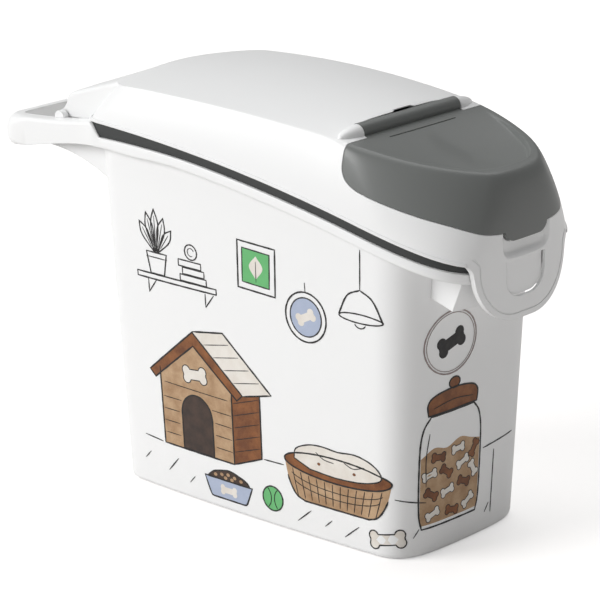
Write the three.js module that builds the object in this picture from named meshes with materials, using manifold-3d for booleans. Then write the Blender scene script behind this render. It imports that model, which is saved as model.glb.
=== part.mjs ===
// A free-standing dry food bin with a carrying handle, a hinged lid and a flip-up pouring flap.
// Millimetres. +X is the pouring end, +Y the far side and +Z up.
// The origin is on the floor, under the middle of the bin's length and width.
import * as THREE from 'three';
import { mergeVertices } from 'three/addons/utils/BufferGeometryUtils.js';
import Module from 'manifold-3d';

const wasm = await Module();
wasm.setup();

// Tub: the drafted container
const FOOT_REAR_X = -114;
const FOOT_FRONT_X = 193;
const FOOT_HALF = 83;
const MOUTH_REAR_X = -131.5;
const MOUTH_FRONT_X = 202;
const MOUTH_HEIGHT = 269;
const TUB_WALL = 2.4;
const FOOT_REAR_CORNER = 18;
const MOUTH_REAR_CORNER = 22;
const FOOT_CORNER_RUN = 32;
const MOUTH_CORNER_RUN = 38;
const FOOT_FRONT_FLAT = 54;
const MOUTH_FRONT_FLAT = 60;
const FOOT_FRONT_BOW = 3.6;
const FOOT_EDGE_RADIUS = 5;
const STANDING_RIM_WIDTH = 8;
const BASE_RECESS = 2;

// Rim of the tub: a land with a skirt that turns down, on one long arc from rear to front
const RIM_REAR_X = -139;
const RIM_FRONT_X = 239.5;
const RIM_HALF = 99;
const RIM_SIDE_STEP = 5.5;
const MOUTH_HALF = RIM_HALF - RIM_SIDE_STEP;
const RIM_TOP_Z = 302;
const RIM_ARC_X = -140;
const RIM_ARC_RADIUS = 1240;
const RIM_REAR_CORNER = 14;
const RIM_CORNER_RUN = 89.5;
const RIM_FRONT_FLAT = 60;
const RIM_FRONT_BOW = 7.5;
const RIM_LAND = 2.4;
const SKIRT_HEIGHT = 13;
const SKIRT_WALL = 2.2;

// Nose: the hollow chute under the front of the rim, and the catch on it
const NOSE_TOP_HALF = 57;
const NOSE_FOOT_HALF = 36;
const NOSE_FOOT_DROP = 106;
const NOSE_FOOT_Z = RIM_TOP_Z - NOSE_FOOT_DROP;
const NOSE_REACH = 30;
const NOSE_LIP = 7;
const NOSE_BOW = 11;
const CATCH_HALF = 21.5;
const CATCH_FOOT_DROP = 82.5;
const CATCH_FOOT_Z = RIM_TOP_Z - CATCH_FOOT_DROP;
const CATCH_TOP_GAP = 0.8;
const CATCH_CORNER = 15;
const CATCH_RAMP = 2.6;
const CATCH_SET_BACK = 0.7;

// Handle: two arms and a rear bar, one channel open below
const HANDLE_REAR_X = -245;
const HANDLE_WIDTH = 16;
const HANDLE_REAR_HALF = 94;
const HANDLE_CORNER = 20;
const HANDLE_WALL = 2.6;
const HANDLE_ROOT_RISE = 6.6;
const HANDLE_ROOT_Z = RIM_TOP_Z + HANDLE_ROOT_RISE;
const HANDLE_REAR_DROP = 11.6;
const HANDLE_REAR_TOP_Z = HANDLE_ROOT_Z - HANDLE_REAR_DROP;
const HANDLE_REAR_DEPTH = 26;
const HANDLE_REAR_FOOT_Z = HANDLE_REAR_TOP_Z - HANDLE_REAR_DEPTH;
const HANDLE_MID_RISE = 11;
const HANDLE_MID_FOOT_Z = HANDLE_REAR_FOOT_Z + HANDLE_MID_RISE;
const HANDLE_MID_X = -170;
const HANDLE_END_ROUND = 14;
const HANDLE_TOP_ROUND = 8;
const HANDLE_ROOT_X = -122;
const HANDLE_ROOT_SLOPE = 12;
const GUSSET_WALL = 3;
const GUSSET_REAR_X = -200;
const GUSSET_DEPTH = 5;
const GUSSET_FOOT_Z = HANDLE_REAR_FOOT_Z - GUSSET_DEPTH;
const LEDGE_REAR_X = -166;

// Seal: a soft strip on the land, with a tongue held in the lid
const SEAL_HEIGHT = 7.5;
const SEAL_RECESS = 1.6;
const SEAL_WIDTH = 7.6;
const SEAL_TONGUE_INSET = 5.6;
const SEAL_TONGUE_WIDTH = 3.4;
const SEAL_TONGUE_HEIGHT = 4.5;
const SEAL_GAP = 0.3;
const SEAT_FLARE = 9;

// Lid: a crowned hood whose crease lies on one long arc
const LID_WALL = 2.4;
const LID_REAR_X = RIM_REAR_X;
const LID_FRONT_OVERHANG = 5.2;
const LID_FRONT_X = RIM_FRONT_X + LID_FRONT_OVERHANG;
const LID_SIDE_OVERHANG = 0.5;
const LID_HALF = RIM_HALF + LID_SIDE_OVERHANG;
const LID_REAR_CORNER = 16;
const LID_CORNER_RUN = 94.7;
const LID_FRONT_FLAT = 60;
const LID_FRONT_BOW = 7.4;
const LID_BEAD = 0.8;
const LID_BEAD_HEIGHT = 2.4;
const BELT_RISE = 16;
const SIDE_BULGE = 1.1;
const FRONT_BULGE = 1.6;
const CREASE_REAR_LEAN = 19;
const CREASE_REAR_X = LID_REAR_X + CREASE_REAR_LEAN;
const CREASE_FRONT_LEAN = 13.2;
const CREASE_FRONT_X = LID_FRONT_X - CREASE_FRONT_LEAN;
const CREASE_SIDE_LEAN = 10;
const CREASE_HALF = LID_HALF - CREASE_SIDE_LEAN;
const CREASE_RISE = 41.7;
const CREASE_TOP_Z = RIM_TOP_Z + CREASE_RISE;
const CREASE_ARC_X = -30;
const CREASE_ARC_RADIUS = 1400;
const CREASE_REAR_CORNER = 22;
const CREASE_CORNER_RUN = 125;
const CREASE_FRONT_FLAT = 34;
const CREASE_FRONT_BOW = 5.5;
const CREST_DROP = 2.5;
const CREASE_DROP = 4.2;
const CREASE_SPREAD = 2;
const SHOULDER_DROP = 14;
const SHOULDER_SPREAD = 10;
const SHOULDER_REAR_X = 110;
const SHOULDER_FRONT_X = 190;
const REAR_CROWN = 5.5;
const FRONT_CROWN = 8.8;
const CHANNEL_WALL = 2.2;
const CHANNEL_PLAY = 0.4;

// Hinge of the lid: pins on the lid's tongue, in ears on the arms
const HINGE_X = -179;
const HINGE_RISE = 1;
const HINGE_Z = RIM_TOP_Z + HINGE_RISE;
const HINGE_BARREL_RADIUS = 5.5;
const HINGE_PIN_RADIUS = 3.6;
const HINGE_PIN_LENGTH = 5.4;
const HINGE_PLAY = 0.3;
const HINGE_EAR_RADIUS = 8;
const HINGE_EAR_WIDTH = 6;
const HINGE_KNUCKLE_LENGTH = 36;
const TONGUE_REAR_STEP = 3;
const TONGUE_REAR_X = HINGE_X + TONGUE_REAR_STEP;
const TONGUE_DROP = 21.2;
const TONGUE_TOP_Z = CREASE_TOP_Z - TONGUE_DROP;
const TONGUE_ROUND = 4;
const TONGUE_CROWN = 2.4;
const TONGUE_SIDE_GAP = 0.8;
const TONGUE_ROOT_DEPTH = 8;
const TONGUE_ROOT_X = CREASE_REAR_X + TONGUE_ROOT_DEPTH;
const TONGUE_ROOT_STEP = 0.6;

// Tab: the tongue of the lid that hangs over the catch
const TAB_HALF = 56.5;
const TAB_CORNER = 46;
const TAB_ROOT_FILLET = 13;
const TAB_EDGE_DEPTH = 4.2;
const TAB_EDGE_WIDTH = 4.4;
const WINDOW_SIDE_GAP = 2.5;
const WINDOW_HALF = CATCH_HALF + WINDOW_SIDE_GAP;
const WINDOW_FOOT_GAP = 2;
const WINDOW_FOOT_Z = CATCH_FOOT_Z - WINDOW_FOOT_GAP;
const WINDOW_HEIGHT = 30.3;
const WINDOW_TOP_Z = WINDOW_FOOT_Z + WINDOW_HEIGHT;
const WINDOW_CORNER = CATCH_CORNER + WINDOW_FOOT_GAP;
const TAB_FOOT_DEPTH = 18;
const TAB_FOOT_Z = WINDOW_FOOT_Z - TAB_FOOT_DEPTH;
const POCKET_HALF = 27.5;
const POCKET_STEP = 3.7;
const POCKET_FOOT_Z = WINDOW_TOP_Z + POCKET_STEP;
const POCKET_HEIGHT = 17;
const POCKET_TOP_Z = POCKET_FOOT_Z + POCKET_HEIGHT;
const POCKET_DEPTH = 4;
const POCKET_CORNER = 3.5;

// Flap: the flip-up cover of the pouring mouth
const FLAP_WALL = 2.6;
const FLAP_REST_GAP = 0.6;
const FLAP_EDGE_GAP = 0.5;
const FLAP_AXIS_X = 124.5;
const FLAP_AXIS_DROP = 6.9;
const FLAP_AXIS_Z = CREASE_TOP_Z - FLAP_AXIS_DROP;
const FLAP_BARREL_RADIUS = 6.5;
const EAR_SIDE_STEP = 9.5;
const EAR_OUTER_HALF = CREASE_HALF - EAR_SIDE_STEP;
const EAR_LENGTH = 21;
const FLAP_BARREL_HALF = EAR_OUTER_HALF - EAR_LENGTH;
const FLAP_PIN_RADIUS = 3;
const FLAP_PIN_LENGTH = 6;
const FLAP_BARREL_PLAY = 0.6;
const FLAP_SIDE_STEP = 9.5;
const FLAP_SIDE_X = FLAP_AXIS_X + FLAP_SIDE_STEP;
const FLAP_CORNER = 20;
const FLAP_EDGE_DROP = 39.2;
const FLAP_EDGE_Z = CREASE_TOP_Z - FLAP_EDGE_DROP;
const FLAP_EDGE_FALL = 29;
const FLAP_EDGE_ARC_X = 215;
const FLAP_EDGE_ARC_RADIUS = 90;
const FLAP_DISH = 3;
const FLAP_TAB_HALF = 27;
const FLAP_TAB_DROP = 7.5;
const FLAP_TAB_CORNER = 11;
const GROOVE_STEP = 7;
const GROOVE_X = FLAP_SIDE_X + GROOVE_STEP;
const GROOVE_HALF = 40.5;
const GROOVE_WIDTH = 1.1;
const GROOVE_DEPTH = 0.8;
const EAR_RADIUS = 7;
const SLOT_HALF = 11;
const SLOT_WIDTH = 3;
const SLOT_DEPTH = 4;

// Pouring mouth under the flap
const POUR_REAR_STEP = 12;
const POUR_REAR_X = FLAP_SIDE_X + POUR_REAR_STEP;
const POUR_FRONT_INSET = 13;
const POUR_SIDE_STEP = 1;
const POUR_HALF = FLAP_BARREL_HALF - POUR_SIDE_STEP;
const POUR_CORNER = 30;

// Shares that shape every outline alike
const REAR_WIDTH_SHARE = 0.965;
const FRONT_WIDTH_SHARE = 0.945;
const WIDEST_PLACE_SHARE = 0.42;
const WIDEST_PULL_SHARE = 1.045;
const BOW_PULL_SHARE = 0.765;

// One overrun for every cut, and the steps of every outline
const OVERRUN = 5;
const REAR_STEPS = 4;
const CORNER_STEPS = 5;
const SIDE_STEPS = 8;
const FRONT_CORNER_STEPS = 8;
const SHOULDER_STEPS = 2;
const BOW_STEPS = 5;
const ROUND_STEPS = 24;
const ARC_STEPS = 5;

// The height of a long arc: level up to its crown, then falling
function arcDrop(x, crownX, radius) {
  const run = Math.max(x - crownX, 0);
  return radius - Math.sqrt(radius * radius - run * run);
}

function rimZ(x) {
  return RIM_TOP_Z - arcDrop(x, RIM_ARC_X, RIM_ARC_RADIUS);
}

function lidEdgeZ(x) {
  return rimZ(x) + SEAL_HEIGHT;
}

function creaseZ(x) {
  const run = x - CREASE_ARC_X;
  const fall = CREASE_ARC_RADIUS - Math.sqrt(CREASE_ARC_RADIUS ** 2 - run * run);
  return CREASE_TOP_Z - fall - CREST_DROP * softness(x);
}

function flapEdgeZ(x) {
  const share = (x - FLAP_SIDE_X) / (LID_FRONT_X - FLAP_SIDE_X);
  return FLAP_EDGE_Z - FLAP_EDGE_FALL * share - arcDrop(x, FLAP_EDGE_ARC_X, FLAP_EDGE_ARC_RADIUS);
}

// Where two lines meet, each given by a point and a direction
function meet(pointA, directionA, pointB, directionB) {
  const between = pointB.clone().sub(pointA);
  const along = between.cross(directionB) / directionA.cross(directionB);
  return pointA.clone().addScaledVector(directionA, along);
}

// A plan outline: straight rear, bowed sides, round corners and a bowed front, mirrored about X.
// It starts at the middle of the rear and ends at the point before it.
function planOutline({ rear, front, half, rearCorner, run, flat, bow }) {
  const rearHalf = half * REAR_WIDTH_SHARE;
  const sideStart = new THREE.Vector2(rear + rearCorner, rearHalf);
  const sideEnd = new THREE.Vector2(front - run, half * FRONT_WIDTH_SHARE);
  const widest = new THREE.Vector2(
    THREE.MathUtils.lerp(sideStart.x, sideEnd.x, WIDEST_PLACE_SHARE),
    half * WIDEST_PULL_SHARE,
  );
  const bowStart = new THREE.Vector2(front - bow, flat);
  const bowPull = new THREE.Vector2(front, flat * BOW_PULL_SHARE);
  const rearPull = meet(
    new THREE.Vector2(rear, rearHalf),
    new THREE.Vector2(0, rearHalf),
    sideStart,
    widest.clone().sub(sideStart),
  );
  const cornerPull = meet(
    sideEnd,
    sideEnd.clone().sub(widest),
    bowStart,
    bowStart.clone().sub(bowPull),
  );
  const rearMiddle = new THREE.Vector2(rear, 0);
  const rearEnd = new THREE.Vector2(rear, rearPull.y - rearCorner);
  const pieces = [
    [new THREE.LineCurve(rearMiddle, rearEnd), REAR_STEPS],
    [new THREE.QuadraticBezierCurve(rearEnd, rearPull, sideStart), CORNER_STEPS],
    [new THREE.QuadraticBezierCurve(sideStart, widest, sideEnd), SIDE_STEPS],
    [new THREE.QuadraticBezierCurve(sideEnd, cornerPull, bowStart), FRONT_CORNER_STEPS],
    [new THREE.QuadraticBezierCurve(bowStart, bowPull, new THREE.Vector2(front, 0)), BOW_STEPS],
  ];
  const farHalf = [rearMiddle];
  for (const [curve, steps] of pieces) {
    farHalf.push(...curve.getPoints(steps).slice(1));
  }
  const nearHalf = farHalf.slice(1, -1).reverse();
  return farHalf.concat(nearHalf.map((point) => new THREE.Vector2(point.x, -point.y)));
}

// An outline moved outwards by a distance, or inwards where it is negative
function offsetOutline(points, distance) {
  const count = points.length;
  return points.map((point, index) => {
    const before = points[(index + count - 1) % count];
    const after = points[(index + 1) % count];
    const along = after.clone().sub(before).normalize();
    return new THREE.Vector2(point.x - along.y * distance, point.y + along.x * distance);
  });
}

// A ring of points in space, its height given by a rule of x and y
function ring(points, height) {
  return points.map((point) => new THREE.Vector3(point.x, point.y, height(point.x, point.y)));
}

// A closed solid from a list of triangles
function solidFromTriangles(corners) {
  const geometry = new THREE.BufferGeometry().setFromPoints(corners);
  return toSolid(geometry);
}

function pushQuad(corners, a, b, c, d) {
  corners.push(a, b, c, a, c, d);
}

function pushBand(corners, lower, upper) {
  lower.forEach((point, index) => {
    const next = (index + 1) % lower.length;
    pushQuad(corners, upper[index], upper[next], lower[next], point);
  });
}

// A cap that joins each point of a mirrored ring to its mirror image
function pushCap(corners, points, faceUp) {
  const count = points.length;
  const middle = count / 2;
  for (let index = 0; index < middle; index += 1) {
    const far = points[index];
    const farNext = points[index + 1];
    const near = points[(count - index) % count];
    const nearNext = points[count - index - 1];
    const order = faceUp ? [far, near, nearNext, farNext] : [far, farNext, nearNext, near];
    pushQuad(corners, ...order);
  }
}

function ringSolid(rings) {
  const corners = [];
  pushCap(corners, rings[0], false);
  for (let index = 1; index < rings.length; index += 1) {
    pushBand(corners, rings[index - 1], rings[index]);
  }
  pushCap(corners, rings[rings.length - 1], true);
  return solidFromTriangles(dropFlat(corners));
}

// Triangles whose corners fall together are left out
function dropFlat(corners) {
  const kept = [];
  for (let index = 0; index < corners.length; index += 3) {
    const [a, b, c] = corners.slice(index, index + 3);
    if (!a.equals(b) && !b.equals(c) && !c.equals(a)) {
      kept.push(a, b, c);
    }
  }
  return kept;
}

function toSolid(source) {
  const geometry = source.clone();
  geometry.deleteAttribute('normal');
  geometry.deleteAttribute('uv');
  const merged = mergeVertices(geometry);
  const solid = new wasm.Manifold(new wasm.Mesh({
    numProp: 3,
    vertProperties: new Float32Array(merged.attributes.position.array),
    triVerts: new Uint32Array(merged.index.array),
  }));
  return solid;
}

function toGeometry(solid) {
  const mesh = solid.getMesh();
  const geometry = new THREE.BufferGeometry();
  geometry.setAttribute('position', new THREE.BufferAttribute(mesh.vertProperties, 3));
  geometry.setIndex(new THREE.BufferAttribute(mesh.triVerts, 1));
  geometry.computeVertexNormals();
  return geometry;
}

function joinAll(solids) {
  return solids.reduce((whole, solid) => whole.add(solid));
}

// A profile in X and Z, extruded along Y between two places
function sidePrism(points, fromY, toY) {
  const shape = points instanceof THREE.Shape ? points : new THREE.Shape(points);
  const geometry = new THREE.ExtrudeGeometry(shape, {
    depth: toY - fromY,
    bevelEnabled: false,
    curveSegments: ARC_STEPS,
  });
  geometry.rotateX(Math.PI / 2);
  geometry.translate(0, toY, 0);
  return toSolid(geometry);
}

// A profile in Y and Z, extruded along X between two places
function frontPrism(shape, fromX, toX) {
  const geometry = new THREE.ExtrudeGeometry(shape, {
    depth: toX - fromX,
    bevelEnabled: false,
    curveSegments: ARC_STEPS,
  });
  const turned = new THREE.Matrix4().makeBasis(
    new THREE.Vector3(0, 1, 0),
    new THREE.Vector3(0, 0, 1),
    new THREE.Vector3(1, 0, 0),
  );
  geometry.applyMatrix4(turned);
  geometry.translate(fromX, 0, 0);
  return toSolid(geometry);
}

// A plan shape, extruded upwards between two heights
function planPrism(points, fromZ, toZ) {
  const shape = points instanceof THREE.Shape ? points : new THREE.Shape(points);
  const geometry = new THREE.ExtrudeGeometry(shape, {
    depth: toZ - fromZ,
    bevelEnabled: false,
    curveSegments: ARC_STEPS,
  });
  geometry.translate(0, 0, fromZ);
  return toSolid(geometry);
}

// A round bar along Y
function crossBar(x, z, radius, fromY, toY) {
  const geometry = new THREE.CylinderGeometry(radius, radius, toY - fromY, ROUND_STEPS);
  geometry.translate(x, (fromY + toY) / 2, z);
  return toSolid(geometry);
}

// A block between two corners
function block(fromX, toX, fromY, toY, fromZ, toZ) {
  const geometry = new THREE.BoxGeometry(toX - fromX, toY - fromY, toZ - fromZ);
  geometry.translate((fromX + toX) / 2, (fromY + toY) / 2, (fromZ + toZ) / 2);
  return toSolid(geometry);
}

// The same solid on both sides of the bin
function bothSides(makeSide) {
  return makeSide(1).add(makeSide(-1));
}

function sidedBar(x, z, radius, innerY, outerY, side) {
  const ends = [innerY * side, outerY * side].sort((a, b) => a - b);
  return crossBar(x, z, radius, ends[0], ends[1]);
}

const footOutline = planOutline({
  rear: FOOT_REAR_X,
  front: FOOT_FRONT_X,
  half: FOOT_HALF,
  rearCorner: FOOT_REAR_CORNER,
  run: FOOT_CORNER_RUN,
  flat: FOOT_FRONT_FLAT,
  bow: FOOT_FRONT_BOW,
});

const mouthOutline = planOutline({
  rear: MOUTH_REAR_X,
  front: MOUTH_FRONT_X,
  half: MOUTH_HALF,
  rearCorner: MOUTH_REAR_CORNER,
  run: MOUTH_CORNER_RUN,
  flat: MOUTH_FRONT_FLAT,
  bow: FOOT_FRONT_BOW,
});

const rimPlan = {
  rear: RIM_REAR_X,
  front: RIM_FRONT_X,
  half: RIM_HALF,
  rearCorner: RIM_REAR_CORNER,
  run: RIM_CORNER_RUN,
  flat: RIM_FRONT_FLAT,
  bow: RIM_FRONT_BOW,
};

// The rim's outline drawn again at a distance inside it, with its rear corners kept open
function rimOutline(inset) {
  const lean = new THREE.Vector2(rimPlan.flat * (1 - BOW_PULL_SHARE), rimPlan.bow).normalize();
  return planOutline({
    rear: rimPlan.rear + inset,
    front: rimPlan.front - inset,
    half: rimPlan.half - inset,
    rearCorner: Math.max(rimPlan.rearCorner - inset, rimPlan.rearCorner / 4),
    run: rimPlan.run - inset,
    flat: rimPlan.flat - inset * lean.y,
    bow: rimPlan.bow + inset * (lean.x - 1),
  });
}

// A ring on the tub's drafted wall, moved out by a distance, at a height that may follow x
function wallRing(distance, height) {
  const level = offsetOutline(footOutline, distance);
  const upper = offsetOutline(mouthOutline, distance);
  return level.map((point, index) => {
    const z = height(upper[index].x);
    const share = z / MOUTH_HEIGHT;
    const place = point.clone().lerp(upper[index], share);
    return new THREE.Vector3(place.x, place.y, z);
  });
}

// A slab with vertical sides between two curved levels
function curvedSlab(points, low, high) {
  return ringSolid([ring(points, low), ring(points, high)]);
}

// The tub with its standing rim, drafted walls, land and skirt, as one moulded shell
function makeTubShell() {
  const underLand = (x) => rimZ(x) - RIM_LAND;
  const skirtFoot = (x) => rimZ(x) - SKIRT_HEIGHT;
  const skirtInside = rimOutline(SKIRT_WALL);
  const standingInset = FOOT_EDGE_RADIUS + STANDING_RIM_WIDTH;
  const floorZ = BASE_RECESS + TUB_WALL;
  const softening = FOOT_EDGE_RADIUS * (1 - Math.SQRT1_2);
  return ringSolid([
    wallRing(-standingInset - BASE_RECESS, () => BASE_RECESS),
    wallRing(-standingInset, () => 0),
    wallRing(-FOOT_EDGE_RADIUS, () => 0),
    wallRing(-softening, () => softening),
    wallRing(0, () => FOOT_EDGE_RADIUS),
    wallRing(0, underLand),
    ring(skirtInside, underLand),
    ring(skirtInside, skirtFoot),
    ring(rimOutline(0), skirtFoot),
    ring(rimOutline(0), rimZ),
    wallRing(-TUB_WALL, rimZ),
    wallRing(-TUB_WALL, () => floorZ + FOOT_EDGE_RADIUS),
    wallRing(-TUB_WALL - softening, () => floorZ + softening),
    wallRing(-TUB_WALL - FOOT_EDGE_RADIUS, () => floorZ),
  ]);
}

// One level of the nose: square at the rear and bowed at the front
function noseLevel(rearX, frontX, half, z) {
  const bow = NOSE_BOW * (half / NOSE_TOP_HALF) ** 2;
  const points = [new THREE.Vector3(rearX, -half, z)];
  for (let step = -REAR_STEPS; step <= REAR_STEPS; step += 1) {
    const reach = step / REAR_STEPS;
    points.push(new THREE.Vector3(frontX - bow * reach * reach, half * reach, z));
  }
  points.push(new THREE.Vector3(rearX, half, z));
  return points;
}

// The nose narrows from the rim down to the front wall
function makeNose(inset, topZ) {
  const wallX = THREE.MathUtils.lerp(FOOT_FRONT_X, MOUTH_FRONT_X, NOSE_FOOT_Z / MOUTH_HEIGHT);
  const rearX = wallX - NOSE_REACH;
  const topHalf = NOSE_TOP_HALF - inset;
  const footHalf = NOSE_FOOT_HALF - inset;
  const frontX = RIM_FRONT_X - NOSE_LIP - inset;
  return sectionSolid([
    noseLevel(rearX, wallX - inset, footHalf, NOSE_FOOT_Z + inset),
    noseLevel(rearX, frontX, topHalf, rimZ(RIM_FRONT_X) - SKIRT_HEIGHT),
    noseLevel(rearX, frontX, topHalf, topZ),
  ]);
}

// The catch stands on the nose, in the window of the tab, and slopes so that the tab clears it
function makeCatch() {
  const topZ = rimZ(RIM_FRONT_X) - CATCH_TOP_GAP;
  const faceX = LID_FRONT_X - LID_WALL - CATCH_SET_BACK;
  const rearX = RIM_FRONT_X - NOSE_LIP * 2;
  const profile = [
    new THREE.Vector2(rearX, CATCH_FOOT_Z),
    new THREE.Vector2(faceX, CATCH_FOOT_Z),
    new THREE.Vector2(faceX + CATCH_RAMP, topZ),
    new THREE.Vector2(rearX, topZ),
  ];
  const wedge = sidePrism(profile, -CATCH_HALF, CATCH_HALF);
  const face = cupShape(CATCH_HALF, CATCH_FOOT_Z, topZ, CATCH_CORNER);
  return wedge.intersect(frontPrism(face, rearX - OVERRUN, faceX + CATCH_RAMP + OVERRUN));
}

// A flat-topped shape with two round lower corners, in Y and Z
function cupShape(half, footZ, topZ, corner) {
  const shape = new THREE.Shape();
  shape.moveTo(-half, topZ);
  shape.lineTo(-half, footZ + corner);
  shape.absarc(-half + corner, footZ + corner, corner, Math.PI, Math.PI * 1.5);
  shape.lineTo(half - corner, footZ);
  shape.absarc(half - corner, footZ + corner, corner, Math.PI * 1.5, Math.PI * 2);
  shape.lineTo(half, topZ);
  return shape;
}

// The plan of the handle: a loop from the rim round the rear bar, moved in by an inset
function handlePlan(inset, rootX) {
  const rootHalf = RIM_HALF * REAR_WIDTH_SHARE - inset;
  const rearHalf = HANDLE_REAR_HALF - inset;
  const rearX = HANDLE_REAR_X + inset;
  const corner = Math.max(HANDLE_CORNER - inset, HANDLE_WALL);
  const shape = new THREE.Shape();
  shape.moveTo(rootX, -rootHalf);
  shape.lineTo(rootX, rootHalf);
  shape.lineTo(rearX + corner, rearHalf);
  shape.absarc(rearX + corner, rearHalf - corner, corner, Math.PI / 2, Math.PI);
  shape.absarc(rearX + corner, corner - rearHalf, corner, Math.PI, Math.PI * 1.5);
  return shape;
}

// The side view of the handle, moved in by an inset at its ends and top
function handleSide(inset) {
  const topInset = inset;
  const rearX = HANDLE_REAR_X + inset;
  const rearTopZ = HANDLE_REAR_TOP_Z - topInset;
  const footInset = inset > 0 ? OVERRUN : 0;
  const rearFootZ = HANDLE_REAR_FOOT_Z - footInset;
  const round = Math.max(HANDLE_END_ROUND - inset, HANDLE_WALL);
  const edge = Math.max(HANDLE_TOP_ROUND - inset, HANDLE_WALL);
  const frontX = RIM_ARC_X + HANDLE_WIDTH;
  const shape = new THREE.Shape();
  shape.moveTo(frontX, rimZ(frontX) - SKIRT_HEIGHT);
  shape.lineTo(frontX, rimZ(frontX) - topInset - RIM_LAND / 2);
  shape.lineTo(HANDLE_ROOT_X, RIM_TOP_Z - topInset - RIM_LAND / 2);
  shape.lineTo(HANDLE_ROOT_X - HANDLE_ROOT_SLOPE, HANDLE_ROOT_Z - topInset);
  shape.quadraticCurveTo(HANDLE_MID_X, HANDLE_ROOT_Z - topInset - edge, rearX + edge, rearTopZ);
  shape.quadraticCurveTo(rearX, rearTopZ, rearX, rearTopZ - edge);
  shape.lineTo(rearX, rearFootZ + round);
  shape.absarc(rearX + round, rearFootZ + round, round, Math.PI, Math.PI * 1.5);
  shape.quadraticCurveTo(
    HANDLE_MID_X,
    HANDLE_MID_FOOT_Z - footInset,
    MOUTH_REAR_X,
    RIM_TOP_Z - SKIRT_HEIGHT - footInset,
  );
  return shape;
}

// The handle: a channel with a top and two walls, open below
function makeHandle() {
  const loop = planPrism(handlePlan(0, HANDLE_ROOT_X + HANDLE_WIDTH), GUSSET_FOOT_Z, CREASE_TOP_Z)
    .subtract(planPrism(
      handlePlan(HANDLE_WIDTH, HANDLE_ROOT_X + HANDLE_WIDTH * 2),
      GUSSET_FOOT_Z - OVERRUN,
      CREASE_TOP_Z + OVERRUN,
    ));
  const hollowLoop = planPrism(handlePlan(HANDLE_WALL, RIM_REAR_X), 0, CREASE_TOP_Z)
    .subtract(planPrism(
      handlePlan(HANDLE_WIDTH - HANDLE_WALL, RIM_REAR_X + OVERRUN),
      -OVERRUN,
      CREASE_TOP_Z + OVERRUN,
    ));
  const across = RIM_HALF + OVERRUN;
  const body = loop.intersect(sidePrism(handleSide(0), -across, across));
  const hollow = hollowLoop.intersect(sidePrism(handleSide(HANDLE_WALL), -across, across));
  return body.subtract(hollow);
}

// A curved web under each arm, from the rear wall out to the grip
function makeGusset(side) {
  const inner = RIM_HALF * REAR_WIDTH_SHARE - HANDLE_WIDTH;
  const shape = new THREE.Shape();
  const armFoot = RIM_TOP_Z - SKIRT_HEIGHT;
  shape.moveTo(MOUTH_REAR_X + TUB_WALL, armFoot + HANDLE_WALL);
  shape.lineTo(GUSSET_REAR_X, HANDLE_MID_FOOT_Z);
  shape.lineTo(GUSSET_REAR_X, HANDLE_MID_FOOT_Z - HANDLE_WALL * 2);
  shape.quadraticCurveTo(
    (GUSSET_REAR_X + MOUTH_REAR_X) / 2,
    HANDLE_MID_FOOT_Z - HANDLE_WALL * 2,
    MOUTH_REAR_X + TUB_WALL,
    GUSSET_FOOT_Z,
  );
  const ends = [inner * side, (inner + GUSSET_WALL) * side].sort((a, b) => a - b);
  return sidePrism(shape, ends[0], ends[1]);
}

// The ledge between the arms, level with the land
function makeLedge() {
  const half = RIM_HALF * REAR_WIDTH_SHARE - HANDLE_WIDTH + HANDLE_WALL / 2;
  return block(LEDGE_REAR_X, RIM_REAR_X + HANDLE_WALL, -half, half, RIM_TOP_Z - RIM_LAND, RIM_TOP_Z);
}

function armInnerHalf() {
  return RIM_HALF * REAR_WIDTH_SHARE - HANDLE_WIDTH - armTaper(HINGE_X);
}

// The arms lean in towards the rear bar
function armTaper(x) {
  const rootHalf = RIM_HALF * REAR_WIDTH_SHARE;
  const rootX = HANDLE_ROOT_X + HANDLE_WIDTH;
  const reach = rootX - HANDLE_REAR_X - HANDLE_CORNER;
  return (rootHalf - HANDLE_REAR_HALF) * (rootX - x) / reach;
}

function makeHingeEar(side) {
  const inner = armInnerHalf();
  const outer = inner + HINGE_EAR_WIDTH;
  const ear = sidedBar(HINGE_X, HINGE_Z, HINGE_EAR_RADIUS, inner, outer, side);
  return ear;
}

function makeHingeSocket(side) {
  const inner = armInnerHalf() - OVERRUN;
  const outer = armInnerHalf() + HINGE_PIN_LENGTH + HINGE_PLAY;
  return sidedBar(HINGE_X, HINGE_Z, HINGE_PIN_RADIUS + HINGE_PLAY, inner, outer, side);
}

function makeBody() {
  const noseTop = rimZ(RIM_FRONT_X) - RIM_LAND / 2;
  const seatFoot = rimOutline(SEAL_RECESS - SEAL_GAP);
  const seatTop = rimOutline(SEAL_RECESS - SEAL_GAP - SEAT_FLARE);
  const seat = ringSolid([
    ring(seatFoot, rimZ),
    ring(seatTop, (x) => rimZ(x) + SEAT_FLARE),
    ring(seatTop, () => CREASE_TOP_Z),
  ]);
  const handle = joinAll([makeHandle(), bothSides(makeGusset), makeLedge(), bothSides(makeHingeEar)])
    .subtract(seat);
  const inside = ringSolid([
    wallRing(-TUB_WALL, () => BASE_RECESS + TUB_WALL + FOOT_EDGE_RADIUS),
    wallRing(-TUB_WALL, () => CREASE_TOP_Z),
  ]);
  const additions = joinAll([handle, makeNose(0, noseTop), makeCatch()]).subtract(inside);
  const chute = makeNose(TUB_WALL, CREASE_TOP_Z);
  return makeTubShell().add(additions).subtract(chute).subtract(bothSides(makeHingeSocket));
}

// The plan of the lid's lower edge and of its crease
const lidOutline = planOutline({
  rear: LID_REAR_X,
  front: LID_FRONT_X,
  half: LID_HALF,
  rearCorner: LID_REAR_CORNER,
  run: LID_CORNER_RUN,
  flat: LID_FRONT_FLAT,
  bow: LID_FRONT_BOW,
});

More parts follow.
